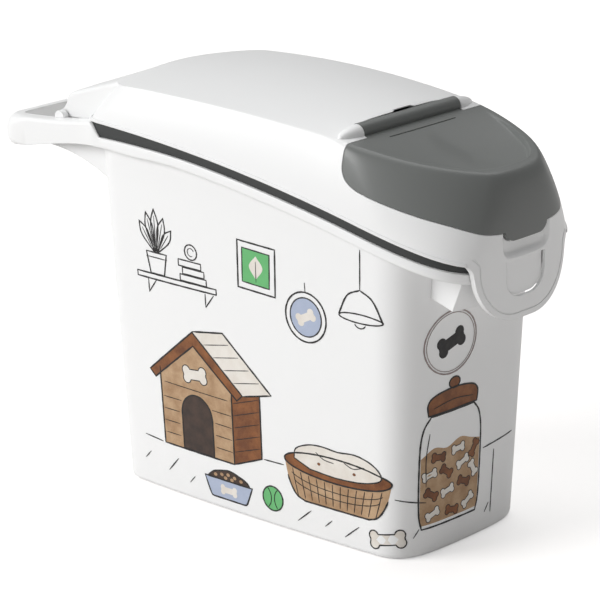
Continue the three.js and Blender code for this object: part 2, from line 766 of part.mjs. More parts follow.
const creaseOutline = planOutline({
  rear: CREASE_REAR_X,
  front: CREASE_FRONT_X,
  half: CREASE_HALF,
  rearCorner: CREASE_REAR_CORNER,
  run: CREASE_CORNER_RUN,
  flat: CREASE_FRONT_FLAT,
  bow: CREASE_FRONT_BOW,
});

// The lid's crease is crisp, and opens into a soft shoulder over the flap
function softness(x) {
  return THREE.MathUtils.smoothstep(x, SHOULDER_REAR_X, SHOULDER_FRONT_X);
}

// The levels of the hood, from the skirt's foot to the crease, moved in by an inset
function hoodRings(inset, footZ) {
  const edge = offsetOutline(lidOutline, -inset);
  const crease = offsetOutline(creaseOutline, -inset);
  const outward = offsetOutline(creaseOutline, 1).map((point, index) => (
    point.sub(creaseOutline[index])
  ));
  const shoulder = (turn) => crease.map((point, index) => {
    const soft = softness(point.x);
    const spread = THREE.MathUtils.lerp(CREASE_SPREAD, SHOULDER_SPREAD, soft) * Math.sin(turn);
    const drop = THREE.MathUtils.lerp(CREASE_DROP, SHOULDER_DROP, soft) * (1 - Math.cos(turn));
    const place = point.clone().addScaledVector(outward[index], spread);
    return new THREE.Vector3(place.x, place.y, creaseZ(point.x) - inset - drop);
  });
  const foot = ring(edge, (x) => lidEdgeZ(x));
  const top = shoulder(Math.PI / 2);
  const belt = foot.map((point, index) => {
    const share = BELT_RISE / (top[index].z - point.z);
    const bulge = THREE.MathUtils.lerp(SIDE_BULGE, FRONT_BULGE, softness(point.x));
    const place = point.clone().lerp(top[index], share);
    return place.add(new THREE.Vector3(outward[index].x, outward[index].y, 0).multiplyScalar(bulge));
  });
  const rings = [ring(edge, () => footZ), foot, belt];
  for (let step = SHOULDER_STEPS; step >= 0; step -= 1) {
    rings.push(shoulder(step / SHOULDER_STEPS * Math.PI / 2));
  }
  return rings;
}

// The rise of the top between its creases, from the rear to the flap's hinge
function crownRise(x) {
  const share = (x - CREASE_REAR_X) / (FLAP_AXIS_X - CREASE_REAR_X);
  return THREE.MathUtils.lerp(REAR_CROWN, FRONT_CROWN, THREE.MathUtils.clamp(share, 0, 1));
}

// The flap's top is dished behind its crest
function dishRise(x) {
  const share = (x - FLAP_SIDE_X) / (CREASE_FRONT_X - FLAP_SIDE_X);
  return -FLAP_DISH * Math.sin(Math.PI * THREE.MathUtils.clamp(share, 0, 1));
}

// The top between the creases: a row of points across each pair of mirrored crease points
function pushTop(corners, crease, rise) {
  const count = crease.length;
  const across = REAR_STEPS * 2;
  const rows = [];
  const rearRow = [];
  for (let step = -REAR_STEPS; step <= REAR_STEPS; step += 1) {
    rearRow.push(crease[(count + step) % count]);
  }
  rows.push(rearRow);
  for (let index = REAR_STEPS + 1; index < count / 2; index += 1) {
    const far = crease[index];
    const near = crease[count - index];
    const row = [near];
    for (let step = 1; step < across; step += 1) {
      const point = near.clone().lerp(far, step / across);
      const reach = point.y / far.y;
      point.z += rise(point.x) * (1 - reach * reach);
      row.push(point);
    }
    row.push(far);
    rows.push(row);
  }
  rows.push(new Array(across + 1).fill(crease[count / 2]));
  for (let row = 1; row < rows.length; row += 1) {
    for (let step = 0; step < across; step += 1) {
      const behind = rows[row - 1];
      const ahead = rows[row];
      pushQuad(corners, behind[step], ahead[step], ahead[step + 1], behind[step + 1]);
    }
  }
}

// The whole outer form of the lid and flap as a closed solid, moved in by an inset
function hoodSolid(inset, rise, footZ = TAB_FOOT_Z - OVERRUN) {
  const rings = hoodRings(inset, footZ);
  const crease = rings[rings.length - 1];
  const rearHalf = crease[REAR_STEPS].y;
  crease.forEach((point, index) => {
    const fromRear = Math.min(index, crease.length - index);
    if (fromRear < REAR_STEPS) {
      point.z += rise(point.x) * (1 - (point.y / rearHalf) ** 2);
    }
  });
  const corners = [];
  pushCap(corners, rings[0], false);
  for (let index = 1; index < rings.length; index += 1) {
    pushBand(corners, rings[index - 1], rings[index]);
  }
  pushTop(corners, crease, rise);
  return solidFromTriangles(dropFlat(corners));
}

// A thin bead along the lid's lower edge, which stops at the tab
function makeBead() {
  const low = (x) => lidEdgeZ(x) - SEAL_GAP;
  const high = (x) => lidEdgeZ(x) + LID_BEAD_HEIGHT;
  const half = TAB_HALF + TAB_ROOT_FILLET / 2;
  const rearX = CREASE_FRONT_X - TAB_HALF;
  const inside = offsetOutline(lidOutline, -LID_BEAD);
  return curvedSlab(offsetOutline(lidOutline, LID_BEAD), low, high)
    .subtract(curvedSlab(inside, (x) => low(x) - OVERRUN, () => CREASE_TOP_Z))
    .subtract(block(rearX, LID_FRONT_X + OVERRUN, -half, half, 0, CREASE_TOP_Z));
}

// What lies above the lid's lower edge, with the tab's cup shape below it at the front
function lidKeep() {
  const points = [];
  const steps = ROUND_STEPS;
  const rearX = LID_REAR_X - OVERRUN;
  const frontX = LID_FRONT_X + OVERRUN;
  for (let step = 0; step <= steps; step += 1) {
    const x = THREE.MathUtils.lerp(rearX, frontX, step / steps);
    points.push(new THREE.Vector2(x, lidEdgeZ(x)));
  }
  points.push(new THREE.Vector2(frontX, CREASE_TOP_Z + FRONT_CROWN + OVERRUN));
  points.push(new THREE.Vector2(rearX, CREASE_TOP_Z + FRONT_CROWN + OVERRUN));
  const across = LID_HALF + OVERRUN;
  const above = sidePrism(points, -across, across);
  const tab = frontPrism(tabShape(0), LID_FRONT_X - TAB_CORNER, frontX);
  return above.add(tab);
}

// The tab seen from the front, with fillets where it leaves the lid's edge
function tabShape(inset) {
  const half = TAB_HALF - inset;
  const footZ = TAB_FOOT_Z + inset;
  const corner = TAB_CORNER - inset;
  const rootZ = lidEdgeZ(LID_FRONT_X - LID_FRONT_BOW * 2) + inset;
  const fillet = TAB_ROOT_FILLET;
  const shape = new THREE.Shape();
  shape.moveTo(-half - fillet, rootZ);
  shape.absarc(-half - fillet, rootZ - fillet, fillet, Math.PI / 2, 0, true);
  shape.lineTo(-half, footZ + corner);
  shape.absarc(-half + corner, footZ + corner, corner, Math.PI, Math.PI * 1.5);
  shape.lineTo(half - corner, footZ);
  shape.absarc(half - corner, footZ + corner, corner, Math.PI * 1.5, Math.PI * 2);
  shape.lineTo(half, rootZ - fillet);
  shape.absarc(half + fillet, rootZ - fillet, fillet, Math.PI, Math.PI / 2, true);
  shape.lineTo(half + fillet, rootZ + OVERRUN);
  shape.lineTo(-half - fillet, rootZ + OVERRUN);
  return shape;
}

// The side view of the flap's place on the lid, grown by a distance
function flapZoneShape(grow) {
  const rearX = FLAP_SIDE_X - grow;
  const topZ = CREASE_TOP_Z + FRONT_CROWN + OVERRUN;
  const corner = FLAP_CORNER;
  const cornerX = rearX + corner;
  const frontX = LID_FRONT_X + OVERRUN;
  const shape = new THREE.Shape();
  shape.moveTo(rearX, topZ);
  shape.lineTo(rearX, flapEdgeZ(cornerX) - grow + corner);
  shape.quadraticCurveTo(rearX, flapEdgeZ(rearX) - grow, cornerX, flapEdgeZ(cornerX) - grow);
  for (let step = 1; step <= ROUND_STEPS / 2; step += 1) {
    const x = THREE.MathUtils.lerp(cornerX, frontX, step / (ROUND_STEPS / 2));
    shape.lineTo(x, flapEdgeZ(x) - grow);
  }
  shape.lineTo(frontX, topZ);
  return shape;
}

function flapZone(grow) {
  const across = LID_HALF + OVERRUN;
  const sides = sidePrism(flapZoneShape(grow), -across, across);
  const lower = FLAP_AXIS_Z - FLAP_BARREL_RADIUS - FLAP_WALL;
  const topZ = CREASE_TOP_Z + FRONT_CROWN + OVERRUN;
  const half = FLAP_BARREL_HALF + grow;
  const hingeStrip = block(FLAP_AXIS_X, FLAP_SIDE_X + OVERRUN, -half, half, lower, topZ);
  const tabFoot = flapEdgeZ(LID_FRONT_X) - FLAP_TAB_DROP - grow;
  const tabForm = cupShape(FLAP_TAB_HALF + grow, tabFoot, topZ, FLAP_TAB_CORNER);
  const tab = frontPrism(tabForm, CREASE_FRONT_X - FLAP_TAB_HALF, LID_FRONT_X + OVERRUN);
  return joinAll([sides, hingeStrip, tab]);
}

function channelRoofZ(x) {
  return lidEdgeZ(x) + SEAL_TONGUE_HEIGHT + SEAL_GAP;
}

// A band that follows the rim between two distances inside it
function rimBand(outer, inner, low, high) {
  return curvedSlab(rimOutline(outer), low, high)
    .subtract(curvedSlab(rimOutline(inner), (x) => low(x) - OVERRUN, () => CREASE_TOP_Z));
}

// The bar under the lid in which the seal's groove is cut
function makeSealChannel() {
  const low = (x) => lidEdgeZ(x) + LID_BEAD;
  const top = (x) => channelRoofZ(x) + CHANNEL_WALL;
  const inner = SEAL_TONGUE_INSET + SEAL_TONGUE_WIDTH + CHANNEL_PLAY + CHANNEL_WALL;
  return rimBand(0, inner, low, top).intersect(hoodSolid(LID_WALL / 2, crownRise));
}

function makeSealGroove() {
  const outer = SEAL_TONGUE_INSET - CHANNEL_PLAY;
  const inner = SEAL_TONGUE_INSET + SEAL_TONGUE_WIDTH + CHANNEL_PLAY;
  return rimBand(outer, inner, rimZ, channelRoofZ);
}

// One cross-section of the lid's tongue: flat below and crowned above
function tongueSection(x, half, footZ, topZ, crown) {
  const points = [new THREE.Vector3(x, -half, footZ), new THREE.Vector3(x, half, footZ)];
  const steps = REAR_STEPS * 2;
  for (let step = 0; step <= steps; step += 1) {
    const reach = 1 - (2 * step) / steps;
    points.push(new THREE.Vector3(x, half * reach, topZ + crown * (1 - reach * reach)));
  }
  return points;
}

function sectionSolid(sections) {
  const corners = [];
  const first = sections[0];
  const last = sections[sections.length - 1];
  for (let index = 1; index < first.length - 1; index += 1) {
    corners.push(first[0], first[index + 1], first[index]);
    corners.push(last[0], last[index], last[index + 1]);
  }
  for (let step = 1; step < sections.length; step += 1) {
    pushBand(corners, sections[step], sections[step - 1]);
  }
  return solidFromTriangles(corners);
}

// The tongue runs back between the arms and slopes down to the hinge
function makeTongueForm(inset, footZ) {
  const half = armInnerHalf() - TONGUE_SIDE_GAP - inset;
  const rearX = TONGUE_REAR_X + inset;
  const rootZ = creaseZ(CREASE_REAR_X) - TONGUE_ROOT_STEP;
  const slope = (rootZ - TONGUE_TOP_Z) / (CREASE_REAR_X - TONGUE_REAR_X);
  const topAt = (x) => TONGUE_TOP_Z + slope * (x - TONGUE_REAR_X) - inset;
  const rootX = TONGUE_ROOT_X;
  return sectionSolid([
    tongueSection(rearX, half, footZ, TONGUE_TOP_Z - TONGUE_ROUND - inset, TONGUE_CROWN),
    tongueSection(rearX + TONGUE_ROUND, half, footZ, topAt(rearX + TONGUE_ROUND), TONGUE_CROWN),
    tongueSection(CREASE_REAR_X, half, footZ, rootZ - inset, REAR_CROWN),
    tongueSection(rootX, half, footZ, rootZ - inset - TONGUE_ROOT_STEP, REAR_CROWN),
  ]);
}

// The knuckles at the rear of the tongue, each a barrel with a web up to the tongue
function makeKnuckle(side) {
  const outer = armInnerHalf() - TONGUE_SIDE_GAP;
  const inner = outer - HINGE_KNUCKLE_LENGTH;
  const ends = [inner * side, outer * side].sort((a, b) => a - b);
  const web = new THREE.Shape();
  const webFoot = lidEdgeZ(TONGUE_REAR_X);
  web.moveTo(TONGUE_REAR_X, TONGUE_TOP_Z - TONGUE_ROUND * 2);
  web.lineTo(HINGE_X - HINGE_BARREL_RADIUS, HINGE_Z);
  web.lineTo(HINGE_X, HINGE_Z - HINGE_BARREL_RADIUS);
  web.lineTo(HINGE_X + HINGE_BARREL_RADIUS, HINGE_Z);
  web.lineTo(HINGE_X + HINGE_BARREL_RADIUS * 2, webFoot);
  web.lineTo(TONGUE_REAR_X + LID_WALL * 2, TONGUE_TOP_Z - TONGUE_ROUND * 2);
  const barrel = crossBar(HINGE_X, HINGE_Z, HINGE_BARREL_RADIUS, ends[0], ends[1]);
  const pin = sidedBar(HINGE_X, HINGE_Z, HINGE_PIN_RADIUS, inner, outer + HINGE_PIN_LENGTH, side);
  return joinAll([sidePrism(web, ends[0], ends[1]), barrel, pin]);
}

function makeTongue() {
  const lower = makeTongueForm(0, lidEdgeZ(TONGUE_REAR_X));
  const hollow = makeTongueForm(LID_WALL, lidEdgeZ(TONGUE_REAR_X) - OVERRUN);
  return lower.subtract(hollow).add(bothSides(makeKnuckle));
}

// An ear beside the flap's barrel, a low rounded bump on the crease
function makeFlapEar(side) {
  const inner = FLAP_BARREL_HALF + FLAP_EDGE_GAP;
  const outer = EAR_OUTER_HALF - EAR_RADIUS;
  const bar = sidedBar(FLAP_AXIS_X, FLAP_AXIS_Z - FLAP_WALL / 2, EAR_RADIUS, inner, outer, side);
  const tip = new THREE.SphereGeometry(EAR_RADIUS, ROUND_STEPS, ROUND_STEPS / 2);
  tip.translate(FLAP_AXIS_X, outer * side, FLAP_AXIS_Z - FLAP_WALL / 2);
  return bar.add(toSolid(tip));
}

function makeFlapSocket(side) {
  const inner = FLAP_BARREL_HALF - OVERRUN;
  const outer = FLAP_BARREL_HALF + FLAP_PIN_LENGTH + FLAP_EDGE_GAP * 2;
  return sidedBar(FLAP_AXIS_X, FLAP_AXIS_Z, FLAP_PIN_RADIUS + HINGE_PLAY, inner, outer, side);
}

// The trough behind and under the barrel, between the ears
function makeTroughForm(radius, half) {
  return crossBar(FLAP_AXIS_X, FLAP_AXIS_Z, radius, -half, half);
}

// The pouring mouth in the deck under the flap
function pourMouth() {
  const front = CREASE_FRONT_X - POUR_FRONT_INSET;
  const shape = new THREE.Shape();
  const half = POUR_HALF;
  const corner = POUR_CORNER;
  const small = corner / 4;
  shape.moveTo(POUR_REAR_X + small, -half);
  shape.lineTo(front - corner * 2, -half);
  shape.quadraticCurveTo(front, -half, front, 0);
  shape.quadraticCurveTo(front, half, front - corner * 2, half);
  shape.lineTo(POUR_REAR_X + small, half);
  shape.absarc(POUR_REAR_X + small, half - small, small, Math.PI / 2, Math.PI);
  shape.absarc(POUR_REAR_X + small, small - half, small, Math.PI, Math.PI * 1.5);
  return planPrism(shape, lidEdgeZ(LID_FRONT_X) + BELT_RISE, CREASE_TOP_Z + FRONT_CROWN);
}

// The lip round the inside of the tab's edge
function makeTabLip() {
  const rearX = LID_FRONT_X - TAB_CORNER;
  const across = TAB_HALF + TAB_ROOT_FILLET;
  const rootZ = lidEdgeZ(LID_FRONT_X - LID_FRONT_BOW * 2);
  return block(rearX, LID_FRONT_X + OVERRUN, -across, across, TAB_FOOT_Z - OVERRUN, rootZ)
    .subtract(frontPrism(tabShape(TAB_EDGE_WIDTH), rearX - OVERRUN, LID_FRONT_X + OVERRUN * 2))
    .subtract(hoodSolid(TAB_EDGE_DEPTH, crownRise, TAB_FOOT_Z - OVERRUN * 2))
    .subtract(curvedSlab(rimOutline(-SEAL_GAP * 2), () => 0, lidEdgeZ));
}

// The finger pocket above the window, grown by a distance
function pocketForm(grow) {
  const topZ = POCKET_TOP_Z + OVERRUN;
  const face = cupShape(POCKET_HALF + grow, POCKET_FOOT_Z - grow, topZ, POCKET_CORNER + grow);
  return frontPrism(face, CREASE_FRONT_X, LID_FRONT_X + OVERRUN)
    .subtract(hoodSolid(POCKET_DEPTH + grow, crownRise, TAB_FOOT_Z - OVERRUN * 2));
}

function makeLid() {
  const deepFoot = TAB_FOOT_Z - OVERRUN * 2;
  const step = FLAP_WALL + FLAP_REST_GAP;
  const barrelSeat = FLAP_BARREL_RADIUS + FLAP_BARREL_PLAY;
  const stepped = hoodSolid(0, crownRise)
    .subtract(flapZone(0))
    .add(hoodSolid(step, dishRise, TAB_FOOT_Z - OVERRUN / 2));
  const hollow = hoodSolid(LID_WALL, crownRise, deepFoot)
    .subtract(flapZone(LID_WALL))
    .add(hoodSolid(step + LID_WALL, dishRise, deepFoot - OVERRUN))
    .subtract(makeTabLip())
    .subtract(pocketForm(LID_WALL))
    .subtract(makeTroughForm(barrelSeat + LID_WALL, FLAP_BARREL_HALF + FLAP_WALL));
  const window = frontPrism(
    cupShape(WINDOW_HALF, WINDOW_FOOT_Z, WINDOW_TOP_Z, WINDOW_CORNER),
    CREASE_FRONT_X - OVERRUN,
    LID_FRONT_X + OVERRUN,
  );
  const slot = block(
    FLAP_AXIS_X - FLAP_BARREL_RADIUS - SLOT_WIDTH / 2,
    FLAP_AXIS_X,
    -SLOT_HALF,
    SLOT_HALF,
    FLAP_AXIS_Z + FLAP_BARREL_RADIUS - SLOT_DEPTH,
    CREASE_TOP_Z + FRONT_CROWN + OVERRUN,
  );
  const hood = stepped.subtract(hollow).intersect(lidKeep());
  const additions = [makeBead(), bothSides(makeFlapEar), makeTongue(), makeSealChannel()];

  return joinAll([hood, ...additions])
    .subtract(pocketForm(0))
    .subtract(window)
    .subtract(makeTroughForm(barrelSeat, FLAP_BARREL_HALF + FLAP_EDGE_GAP))
    .subtract(slot)
    .subtract(bothSides(makeFlapSocket))
    .subtract(makeSealGroove())
    .subtract(pourMouth());
}

function makeFlap() {
  const outer = hoodSolid(0, dishRise);
  const inner = hoodSolid(FLAP_WALL, dishRise, TAB_FOOT_Z - OVERRUN * 2);
  const ears = makeTroughForm(EAR_RADIUS + FLAP_EDGE_GAP, LID_HALF)
    .subtract(makeTroughForm(LID_HALF, FLAP_BARREL_HALF));
  const cover = outer.subtract(inner).intersect(flapZone(-FLAP_EDGE_GAP)).subtract(ears);
  const barrel = makeTroughForm(FLAP_BARREL_RADIUS, FLAP_BARREL_HALF);
  const pins = makeTroughForm(FLAP_PIN_RADIUS, FLAP_BARREL_HALF + FLAP_PIN_LENGTH);
  const grooveTop = creaseZ(GROOVE_X) + OVERRUN;
  const groove = block(
    GROOVE_X - GROOVE_WIDTH / 2,
    GROOVE_X + GROOVE_WIDTH / 2,
    -GROOVE_HALF,
    GROOVE_HALF,
    creaseZ(GROOVE_X) + dishRise(GROOVE_X) - GROOVE_DEPTH,
    grooveTop,
  );
  return joinAll([cover, barrel, pins]).subtract(groove);
}

// The seal: a strip all round the land with a tongue that stands in the lid's channel
function makeSeal() {
  const strip = rimBand(
    SEAL_RECESS,
    SEAL_RECESS + SEAL_WIDTH,
    (x) => rimZ(x) + SEAL_GAP,
    (x) => lidEdgeZ(x) - SEAL_GAP * 2,
  );
  const tongue = rimBand(
    SEAL_TONGUE_INSET,
    SEAL_TONGUE_INSET + SEAL_TONGUE_WIDTH,
    (x) => rimZ(x) + SEAL_HEIGHT / 2,
    (x) => lidEdgeZ(x) + SEAL_TONGUE_HEIGHT,
  );
  return strip.add(tongue);
}

function addPiece(group, name, solid, material) {
  const mesh = new THREE.Mesh(toGeometry(solid), material);
  mesh.name = name;
  group.add(mesh);
}

const whitePlastic = { color: 0xf2f3f3, roughness: 0.42, metalness: 0 };
const greyPlastic = { color: 0x6a6d6b, roughness: 0.5, metalness: 0 };
const darkRubber = { color: 0x454747, roughness: 0.7, metalness: 0 };

const bin = new THREE.Group();
bin.name = 'pet_food_bin';
addPiece(bin, 'container_body', makeBody(), new THREE.MeshStandardMaterial(whitePlastic));
addPiece(bin, 'lid_seal', makeSeal(), new THREE.MeshStandardMaterial(darkRubber));
addPiece(bin, 'lid', makeLid(), new THREE.MeshStandardMaterial(whitePlastic));
addPiece(bin, 'pour_flap', makeFlap(), new THREE.MeshStandardMaterial(greyPlastic));

export default bin;
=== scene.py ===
# %% [markdown]
# # A dry food bin, dressed for the camera
# The bin is a drafted white tub with a loop handle, a crowned white lid that hinges at the rear,
# a soft dark seal between the two, and a grey flap that flips up for pouring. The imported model
# gives every size and every joint. This lesson models each moulding again with more faces and
# rounder edges, lays a printed drawing on the walls, and gives every surface its own finish.

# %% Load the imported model
import math

import bmesh
import bpy
import numpy as np
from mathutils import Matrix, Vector


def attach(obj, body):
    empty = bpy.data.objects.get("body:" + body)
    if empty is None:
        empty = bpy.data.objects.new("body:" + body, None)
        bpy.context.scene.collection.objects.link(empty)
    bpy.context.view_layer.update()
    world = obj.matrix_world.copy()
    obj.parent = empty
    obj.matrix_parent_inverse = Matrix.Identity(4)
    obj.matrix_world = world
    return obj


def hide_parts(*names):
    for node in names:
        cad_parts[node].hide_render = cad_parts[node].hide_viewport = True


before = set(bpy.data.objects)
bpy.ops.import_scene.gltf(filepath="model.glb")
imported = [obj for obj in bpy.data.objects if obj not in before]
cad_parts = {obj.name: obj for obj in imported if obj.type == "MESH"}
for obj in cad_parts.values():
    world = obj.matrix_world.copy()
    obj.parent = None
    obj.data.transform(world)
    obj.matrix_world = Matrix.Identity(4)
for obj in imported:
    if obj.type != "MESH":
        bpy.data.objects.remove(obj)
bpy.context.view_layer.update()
MM = 0.001

# %% [markdown]
# ## Camera
# The bin was photographed from its front left corner, a little above the lid, with a long lens
# and hardly any perspective. The camera is placed by an angle round the bin and an angle above
# the floor, because these two numbers are easy to read off a picture and to change later.

# %% Camera
VIEW_AZIMUTH = math.radians(41.5)
VIEW_ELEVATION = math.radians(17.6)
VIEW_DISTANCE = 2.4707
VIEW_TARGET = Vector((0.0129, 0.0, 0.1635))
VIEW_LENS, SENSOR_WIDTH = 180.0, 36.0
VIEW_REACH = 20.0


def add_alone(operator, **values):
    """A new object from an operator, with nothing else selected."""
    bpy.ops.object.select_all(action="DESELECT")
    operator(**values)
    return bpy.context.object


camera = add_alone(bpy.ops.object.camera_add)
camera.name = "camera"
camera.data.lens = VIEW_LENS
camera.data.sensor_width = SENSOR_WIDTH
backwards = Vector((
    math.sin(VIEW_AZIMUTH) * math.cos(VIEW_ELEVATION),
    -math.cos(VIEW_AZIMUTH) * math.cos(VIEW_ELEVATION),
    math.sin(VIEW_ELEVATION),
))
camera.location = VIEW_TARGET + backwards * VIEW_DISTANCE
camera.rotation_euler = (-backwards).to_track_quat("-Z", "Y").to_euler()
camera.data.clip_end = VIEW_REACH
bpy.context.scene.camera = camera
print("camera at", [round(v, 3) for v in camera.location])

# %% [markdown]
# ## Light
# The picture is bright and soft, as in a white tent. One broad lamp on the left lights the long
# wall, a weaker one from above lights the lid, and the white surroundings fill the rest. The
# front end of the bin turns away from both and goes a calm grey, which is what shows its shape.
# Sun lamps with a wide angle give such even light and are simple to level.

# %% Lamps and world
KEY_FROM, KEY_STRENGTH, KEY_SPREAD = Vector((-0.52, -0.74, 0.42)), 2.3, 38
TOP_FROM, TOP_STRENGTH, TOP_SPREAD = Vector((-0.15, 0.30, 0.95)), 1.25, 60
WORLD_LEVEL = 0.31


def hang_sun(name, comes_from, strength, spread):
    """A sun lamp that shines from a direction, as soft as its spread in degrees."""
    lamp = add_alone(bpy.ops.object.light_add, type="SUN")
    lamp.name = name
    lamp.data.energy = strength
    lamp.data.angle = math.radians(spread)
    lamp.rotation_euler = comes_from.to_track_quat("Z", "Y").to_euler()


def add_node(tree, kind, **values):
    """A node with its properties and the defaults of its named inputs set."""
    node = tree.nodes.new(kind)
    for key, value in values.items():
        if hasattr(node, key):
            setattr(node, key, value)
        else:
            node.inputs[key.replace("_", " ")].default_value = value
    return node


def wire(tree, *links):
    """Links, each given as a node, its output, the next node and its input."""
    for start, output, end, into in links:
        tree.links.new(start.outputs[output], end.inputs[into])


hang_sun("key_lamp", KEY_FROM, KEY_STRENGTH, KEY_SPREAD)
hang_sun("top_lamp", TOP_FROM, TOP_STRENGTH, TOP_SPREAD)

world = bpy.data.worlds.new("white_surroundings")
bpy.context.scene.world = world
world.use_nodes = True
sky = world.node_tree
sky.nodes.clear()
world_out = add_node(sky, "ShaderNodeOutputWorld")
seen_white = add_node(sky, "ShaderNodeBackground", Strength=1.0)
room_light = add_node(sky, "ShaderNodeBackground", Strength=WORLD_LEVEL)
seen_or_lit = add_node(sky, "ShaderNodeMixShader")
ray = add_node(sky, "ShaderNodeLightPath")
wire(sky, (ray, "Is Camera Ray", seen_or_lit, 0), (room_light, 0, seen_or_lit, 1),
     (seen_white, 0, seen_or_lit, 2), (seen_or_lit, 0, world_out, 0))
bpy.context.scene.view_settings.view_transform = "Standard"
print("lamps", KEY_STRENGTH, TOP_STRENGTH, "world", WORLD_LEVEL)

# %% [markdown]
# ## Floor
# The bin stands on a seamless white sheet. The sheet is a real surface, so that it catches the
# bin's soft shadow, and it shows a little brighter to the camera than it is lit, so that it runs
# into the white backdrop with no horizon.

# %% Floor
FLOOR_SIZE, FLOOR_SQUARES = 14.0, 8
FLOOR_COLOUR = (0.80, 0.785, 0.775, 1)
FLOOR_LIFT = 0.42


def number_node(tree, operation, *defaults, **values):
    """A Math node. Its defaults come in order, None where a link comes in."""
    node = add_node(tree, "ShaderNodeMath", operation=operation, **values)
    for socket, value in zip(node.inputs, defaults):
        if value is not None:
            socket.default_value = value
    return node


floor = add_alone(bpy.ops.mesh.primitive_grid_add, x_subdivisions=FLOOR_SQUARES,
                  y_subdivisions=FLOOR_SQUARES, size=FLOOR_SIZE)
floor.name = "floor_sheet"
floor_paint = bpy.data.materials.new("floor_sheet")
floor_paint.use_nodes = True
paint = floor_paint.node_tree
paint.nodes.clear()
sheet = add_node(paint, "ShaderNodeBsdfDiffuse", Color=FLOOR_COLOUR)
lift = add_node(paint, "ShaderNodeEmission", Color=(1, 1, 1, 1))
floor_ray = add_node(paint, "ShaderNodeLightPath")
seen = number_node(paint, "MULTIPLY", None, FLOOR_LIFT)
both = add_node(paint, "ShaderNodeAddShader")
floor_out = add_node(paint, "ShaderNodeOutputMaterial")
wire(paint, (floor_ray, "Is Camera Ray", seen, 0), (seen, 0, lift, "Strength"),
     (sheet, 0, both, 0), (lift, 0, both, 1), (both, 0, floor_out, "Surface"))
floor.data.materials.append(floor_paint)
print("floor", FLOOR_SIZE, "m wide")

# %% [markdown]
# ## Finishes shared by the mouldings
# Injection moulded plastic isn't a flat colour. Its tool leaves a very fine satin texture, the
# colour drifts slightly with the flow of the melt, and hands leave the surface a little glossier
# in places. These effects are one node group, built once and given other values for each plastic.


# %% Node group: moulded satin
COLOUR, NUMBER = "NodeSocketColor", "NodeSocketFloat"


def new_group(name, inputs):
    """A shader node group with named inputs. It puts out a colour, a roughness and a height."""
    group = bpy.data.node_groups.new(name, "ShaderNodeTree")
    for label, value in inputs.items():
        kind = NUMBER if isinstance(value, float) else COLOUR
        group.interface.new_socket(label, in_out="INPUT", socket_type=kind).default_value = value
    for label, kind in (("Color", COLOUR), ("Roughness", NUMBER), ("Height", NUMBER)):
        group.interface.new_socket(label, in_out="OUTPUT", socket_type=kind)
    return group, group.nodes.new("NodeGroupInput"), group.nodes.new("NodeGroupOutput")


satin, satin_in, satin_out = new_group("moulded_satin", {
    "Base": (0.9, 0.9, 0.9, 1), "Drift": 0.02, "Rough": 0.4, "Handling": 0.06,
    "Grain Scale": 900.0})
place = add_node(satin, "ShaderNodeTexCoord")
flow = add_node(satin, "ShaderNodeTexNoise", Scale=7.0, Detail=3.0, Roughness=0.45)
hands = add_node(satin, "ShaderNodeTexNoise", Scale=16.0, Detail=5.0, Roughness=0.6)
grain = add_node(satin, "ShaderNodeTexNoise", Detail=2.0, Roughness=0.55)
swing = number_node(satin, "MULTIPLY_ADD", None, 2.0, -1.0)
amount = number_node(satin, "MULTIPLY_ADD", None, None, 1.0)
tint = add_node(satin, "ShaderNodeVectorMath", operation="SCALE")
rub = number_node(satin, "SUBTRACT", None, 0.5)
rubbed = number_node(satin, "MULTIPLY_ADD")
wire(satin, (place, "Object", flow, "Vector"), (place, "Object", hands, "Vector"),
     (place, "Object", grain, "Vector"), (satin_in, "Grain Scale", grain, "Scale"),
     (flow, "Fac", swing, 0), (swing, 0, amount, 0), (satin_in, "Drift", amount, 1),
     (satin_in, "Base", tint, 0), (amount, 0, tint, "Scale"), (tint, 0, satin_out, "Color"),
     (hands, "Fac", rub, 0), (rub, 0, rubbed, 0), (satin_in, "Handling", rubbed, 1),
     (satin_in, "Rough", rubbed, 2), (rubbed, 0, satin_out, "Roughness"),
     (grain, "Fac", satin_out, "Height"))
print("group", satin.name, "with", len(satin.nodes), "nodes")

# %% [markdown]
# ## The plastics and the rubber
# Both whites are the same satin polypropylene. The flap is a mid grey with a touch of green, and
# the seal is a soft rubber, darker and duller. The shader stays in each material, and the group
# only feeds it. A Bevel node softens the last millimetre of each edge, as the tool's own radius
# does on the real part.


# %% Materials of the mouldings
def fed_material(name, group_tree, specular, strength, depth, **values):
    """A material whose shader is fed by a node group, with the group's height as bump."""
    material = bpy.data.materials.new(name)
    material.use_nodes = True
    tree = material.node_tree
    shader = tree.nodes["Principled BSDF"]
    shader.inputs["Specular IOR Level"].default_value = specular
    group = add_node(tree, "ShaderNodeGroup", node_tree=group_tree, **values)
    bump = add_node(tree, "ShaderNodeBump", Strength=strength, Distance=depth)
    wire(tree, (group, "Color", shader, "Base Color"), (group, "Roughness", shader, "Roughness"),
         (group, "Height", bump, "Height"), (bump, "Normal", shader, "Normal"))
    return material, bump


def moulded(name, base, rough, drift, handling, grain_scale, grain_depth, edge, specular=0.5):
    """A moulded plastic or rubber: satin group, fine grain as bump and a soft edge."""
    material, bump = fed_material(
        name, satin, specular, 0.35, grain_depth, Base=(*base, 1), Drift=drift, Rough=rough,
        Handling=handling, Grain_Scale=grain_scale)
    soft_edge = add_node(material.node_tree, "ShaderNodeBevel", samples=6, Radius=edge)
    wire(material.node_tree, (soft_edge, "Normal", bump, "Normal"))
    return material


